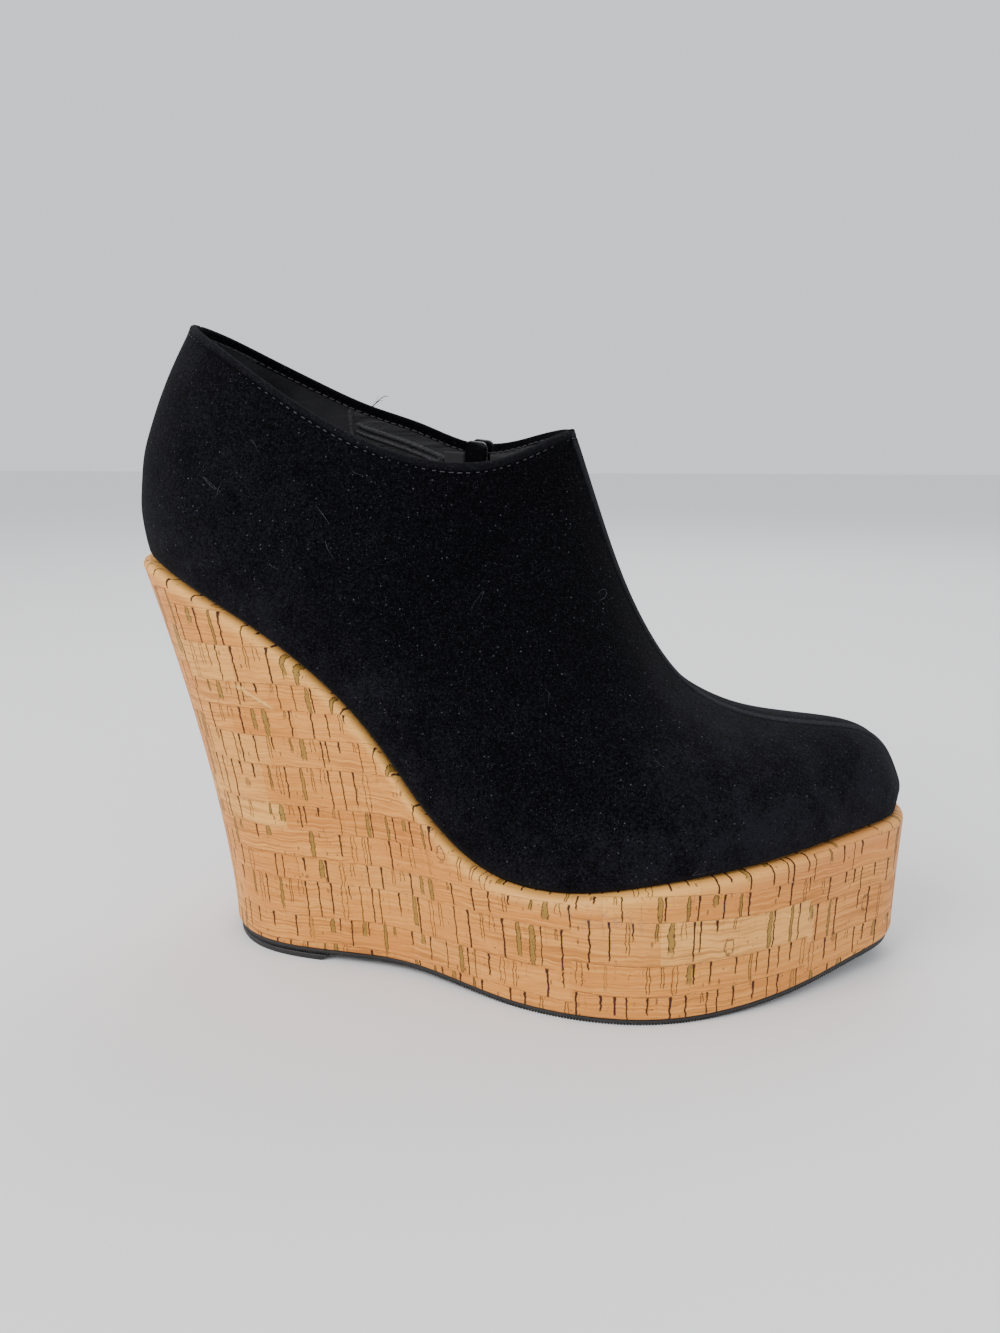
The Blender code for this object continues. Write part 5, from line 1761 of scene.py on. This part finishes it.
# Lint on the outer face, each as places in the photograph's frame and a thickness in metres.
LINT_LINES = (
    # places, thickness
    (((213, 483), (216, 489), (221, 493), (225, 497)), 0.00009),
    (((222, 481), (219, 488), (217, 496)), 0.00007),
    (((316, 505), (321, 512), (326, 519), (330, 525)), 0.00010),
    (((325, 540), (327, 547), (331, 554), (335, 560)), 0.00009),
    (((597, 596), (601, 590), (606, 592), (604, 598), (599, 600)), 0.00008),
    (((352, 470), (357, 474), (363, 475)), 0.00007),
    (((268, 560), (272, 566), (279, 569)), 0.00007),
    (((470, 610), (474, 604), (480, 602)), 0.00006),
    (((700, 870), (708, 872), (716, 870)), 0.00007),
    (((545, 690), (549, 697), (548, 704)), 0.00006),
    (((655, 760), (660, 765), (668, 766)), 0.00006),
    (((250, 440), (256, 446), (258, 452)), 0.00006),
)

# Loose ends of thread, from a place on the collar's far rim. up, along and back: how far each
# stands up, runs to the toe and leans out, in metres.
THREAD_ENDS = (
    # x, up, along, back, thickness
    (0.0640, 0.0042, 0.0060, 0.0010, 0.00036),
    (0.0640, 0.0030, 0.0042, 0.0018, 0.00020),
    (0.0644, 0.0046, 0.0020, 0.0004, 0.00008),
    (0.0636, 0.0040, 0.0035, 0.0002, 0.00008),
    (0.0905, 0.0022, -0.0006, -0.0004, 0.00014),
    (0.0925, 0.0016, 0.0010, -0.0006, 0.00010),
)


class BOOT_OT_lint(bpy.types.Operator):
    """Lay stray nap, lint and loose ends of thread on the suede"""

    bl_idname = "boot.lint"
    bl_label = "Lint"

    def execute(self, context):
        upper = bpy.data.objects["suede_upper"]
        polygons = [tuple(face.vertices) for face in upper.data.polygons]
        tree = BVHTree.FromPolygons([point.co for point in upper.data.vertices], polygons)
        solids = []
        for pixels, thick in LINT_LINES:
            rows = [np.concatenate(under_pixel(pixel, tree)) for pixel in pixels]
            line = smooth_line(rows, 5 * len(rows))
            share = np.linspace(-1, 1, len(line))
            off = thick * (0.8 + 2.0 * (1 - share**2))[:, None]
            radii = 0.4 * thick * (1 - 0.6 * share**2)
            solids.append(tube(line[:, :3] + line[:, 3:] * off, radii, line[:, 3:], 4))
        edge = topline(1)[0][::-1]
        ends = []
        for x, up, ahead, out, thick in THREAD_ENDS:
            start = np.array([np.interp(x, edge[:, 0], edge[:, axis]) for axis in range(3)])
            share = np.linspace(0, 1, 9)[:, None]
            way = np.array([ahead, out, up])
            bend = np.array([0.2 * up, 0.0, 0.25 * abs(ahead)])
            line = start - [0, 0, 0.0006] + share * way + bend * np.sin(math.pi * share)
            radii = thick / 2 * (1 - 0.5 * share.ravel())
            ends.append(tube(line, radii, (0.3, 1.0, 0.1), 4))
        settle_solids("thread_ends", ends, strand("dark thread"), 180.0)
        settle_solids("loose_lint", solids, strand("lint"), 180.0)
        settle(build_nap(context.scene.boot_suede))
        return {"FINISHED"}


def build_nap(look):
    """Short stray fibres over the suede, away from its edges."""
    _, grids, normals, _, _ = shell()
    solids = []
    for side, grid in grids.items():
        lifted = (grid - normals[side] * NAP_SINK)[2::2, 2:-3:2]
        faces = strip_faces(0, *lifted.shape[:2], side > 0)
        solids.append((lifted.reshape(-1, 3), faces))
    points, faces = joined(solids)
    ground = bpy.data.meshes.new("nap_ground")
    ground.from_pydata((points + SHIFT).tolist(), [], faces)
    rows = np.array([(-0.5, 0.0, -0.1), (-0.2, 0.10, 0.22), (0.15, 0.02, 0.32), (0.5, -0.14, 0.12)])
    shape = small_mesh(*tube(rows * look.fibre, NAP_RADIUS, (0.0, 0.0, 1.0), 4))
    inputs = {"Density": look.fibres, "Looseness": 0.35, "Seed": 12, "Finish": strand("nap fibre")}
    return grow_copies(linked("stray_nap", ground), scatter_tree(), shape, inputs)


def tint(name, description, default):
    return bpy.props.FloatVectorProperty(
        name=name, description=description, subtype="COLOR", min=0, max=1, default=default)


def size(name, description, default, low=0.0, high=0.001):
    return bpy.props.FloatProperty(name=name, description=description, unit="LENGTH",
                                   min=low, max=high, precision=5, default=default)


def share(name, description, default):
    return bpy.props.FloatProperty(
        name=name, description=description, subtype="FACTOR", min=0, max=1, default=default)


def number(name, description, default, low, high):
    return bpy.props.FloatProperty(
        name=name, description=description, min=low, max=high, default=default)


class SuedeSettings(bpy.types.PropertyGroup):
    dark: tint("Nap", "Colour of the suede in its darkest patches", (0.0008, 0.0008, 0.0011))
    light: tint("Brushed nap", "Colour where the nap is brushed up or dusty",
                (0.0105, 0.0105, 0.0150))
    sheen: share("Sheen", "Soft light on the nap at grazing angles", 0.03)
    specks: share("Specks", "Strength of the pale specks in the nap", 0.70)
    fibre: size("Fibre", "Length of a stray fibre of the nap", 0.0010, 0.0002, 0.005)
    fibres: number("Fibres", "Stray fibres on each square metre", 52000.0, 0, 200000)


class ShapeSettings(bpy.types.PropertyGroup):
    turned_edge: size("Turned edge", "How far the folded topline stands proud", 0.0003)
    seam_ridge: size("Seam ridge", "Height of the centre-front seam", 0.0006, 0, 0.0015)
    unevenness: size("Unevenness", "Soft waves in the suede", 0.00022)


class CorkSettings(bpy.types.PropertyGroup):
    pale: tint("Pale cork", "Colour of the palest courses", (0.76, 0.315, 0.062))
    warm: tint("Warm cork", "Colour of the warmest courses", (0.60, 0.200, 0.030))
    # The paler colour of the rounded top edge is a painted highlight, as is the light line on the crease.
    light: tint("Light cork", "Colour of the lightest grain and of the rubbed top edge",
                (0.92, 0.53, 0.150))
    grain: tint("Grain", "Colour of the fine wavy lines", (0.34, 0.115, 0.018))
    gold: tint("Gaps", "Colour of the flecked filling of wide slits", (0.24, 0.15, 0.022))
    course: number("Course", "Height of a course of veneer in millimetres", 9.0, 3, 30)
    gap: number("Slit spacing", "Mean distance between slits in millimetres", 3.7, 1, 20)
    sheet: number("Sheet", "Width of a sheet of veneer between upright joints in millimetres",
                  24.0, 5, 200)


class ThreadSettings(bpy.types.PropertyGroup):
    pitch: size("Pitch", "Distance from one stitch to the next", 0.0024, 0.001, 0.01)
    stitch: size("Stitch", "Length of one stitch", 0.0018, 0.0005, 0.01)
    thickness: size("Thickness", "Thickness of the thread", 0.00042, 0.0001, 0.002)


class ZipSettings(bpy.types.PropertyGroup):
    tooth_pitch: size("Tooth pitch", "Distance between teeth on one side", 0.0015, 0.0008, 0.005)
    rounding: size("Rounding", "Rounded edges of the slider and pull", 0.00022)


class SoleSettings(bpy.types.PropertyGroup):
    rib: size("Rib pitch", "Distance between the fine ribs around the rubber's rim", 0.00085,
              0.0004, 0.005)
    tread: size("Tread", "Depth of the tread on the underside", 0.0005)


class StageSettings(bpy.types.PropertyGroup):
    ambient: number("Ambient light", "Strength of the light from all round", 1.0, 0, 5)
    lamps: number("Lamps", "Strength of the three soft lamps, as a share", 0.9, 0, 5)


class BOOT_OT_upper(bpy.types.Operator):
    """Build the suede wall with its rolled topline, ridge seam and linings"""

    bl_idname = "boot.upper"
    bl_label = "Upper"

    def execute(self, context):
        piece = build_shell()
        cut_slot(piece)
        settle(piece, ["upper"])
        return {"FINISHED"}


class BOOT_OT_wedge(bpy.types.Operator):
    """Build the cork-wrapped wedge and platform"""

    bl_idname = "boot.wedge"
    bl_label = "Wedge"

    def execute(self, context):
        settle(build_cork(), ["wedge"])
        return {"FINISHED"}


class BOOT_OT_stage(bpy.types.Operator):
    """Set the pale floor, the soft lights and the camera"""

    bl_idname = "boot.stage"
    bl_label = "Stage"

    def execute(self, context):
        look = context.scene.boot_stage
        scene = context.scene
        mesh = bpy.data.meshes.new("floor")
        corners = FLOOR_REACH * np.array([(-1, -1, 0), (1, -1, 0), (1, 1, 0), (-1, 1, 0)])
        mesh.from_pydata(corners.tolist(), [], [(0, 1, 2, 3)])
        mesh.materials.append(Finish("pale floor", (0.84, 0.84, 0.85), 0.8).material)
        linked("floor", mesh)
        world = bpy.data.worlds.new("studio")
        world.use_nodes = True
        background = world.node_tree.nodes["Background"].inputs
        background["Color"].default_value = (0.95, 0.97, 1.0, 1)
        background["Strength"].default_value = look.ambient
        scene.world = world
        for title, place, power, width, warmth in (
            ("key", (-0.7, -0.8, 1.0), 17.0, 0.8, (1.0, 0.985, 0.96)),
            ("fill", (0.9, -0.7, 0.7), 2.0, 0.9, (0.95, 0.97, 1.0)),
            ("back", (0.2, 0.9, 1.2), 8.0, 1.0, (1.0, 1.0, 1.0)),
        ):
            light = bpy.data.lights.new(title, "AREA")
            light.energy, light.size, light.color = power * look.lamps, width, warmth
            lamp = linked(title, light)
            lamp.location = place
            aim = Vector((0.0, 0.0, AIM_HEIGHT)) - lamp.location
            lamp.rotation_euler = aim.to_track_quat("-Z", "Y").to_euler()
        lens = bpy.data.cameras.new("view")
        lens.sensor_width = SENSOR
        lens.lens = FOCAL_PIXELS / IMAGE[1] * SENSOR
        lens.clip_start = 0.01
        scene.camera = linked("view", lens)
        scene.camera.location, scene.camera.rotation_euler = CAMERA_PLACE, VIEW_TURN
        return {"FINISHED"}


class BOOT_PT_panel(bpy.types.Panel):
    bl_idname = "BOOT_PT_panel"
    bl_label = "Wedge ankle boot"
    bl_space_type = "VIEW_3D"
    bl_region_type = "UI"
    bl_category = "Boot"

    def draw(self, context):
        for operator in OPERATORS:
            self.layout.operator(operator.bl_idname)
        for title, group in SETTINGS.items():
            box = self.layout.box()
            for label in group.__annotations__:
                box.prop(getattr(context.scene, title), label)


SETTINGS = {
    "boot_suede": SuedeSettings, "boot_shape": ShapeSettings, "boot_cork": CorkSettings,
    "boot_thread": ThreadSettings, "boot_zip": ZipSettings, "boot_sole": SoleSettings,
    "boot_stage": StageSettings,
}
OPERATORS = (
    BOOT_OT_upper, BOOT_OT_wedge, BOOT_OT_sole, BOOT_OT_zip, BOOT_OT_lining, BOOT_OT_stitches,
    BOOT_OT_lint, BOOT_OT_stage,
)


def register():
    for group in SETTINGS.values():
        bpy.utils.register_class(group)
    for title, group in SETTINGS.items():
        setattr(bpy.types.Scene, title, bpy.props.PointerProperty(type=group))
    for operator in OPERATORS:
        bpy.utils.register_class(operator)
    bpy.utils.register_class(BOOT_PT_panel)


def unregister():
    bpy.utils.unregister_class(BOOT_PT_panel)
    for operator in reversed(OPERATORS):
        bpy.utils.unregister_class(operator)
    for title, group in SETTINGS.items():
        delattr(bpy.types.Scene, title)
        bpy.utils.unregister_class(group)


def main():
    register()
    for operator in OPERATORS:
        group, name = operator.bl_idname.split(".")
        getattr(getattr(bpy.ops, group), name)()


if __name__ == "__main__":
    main()
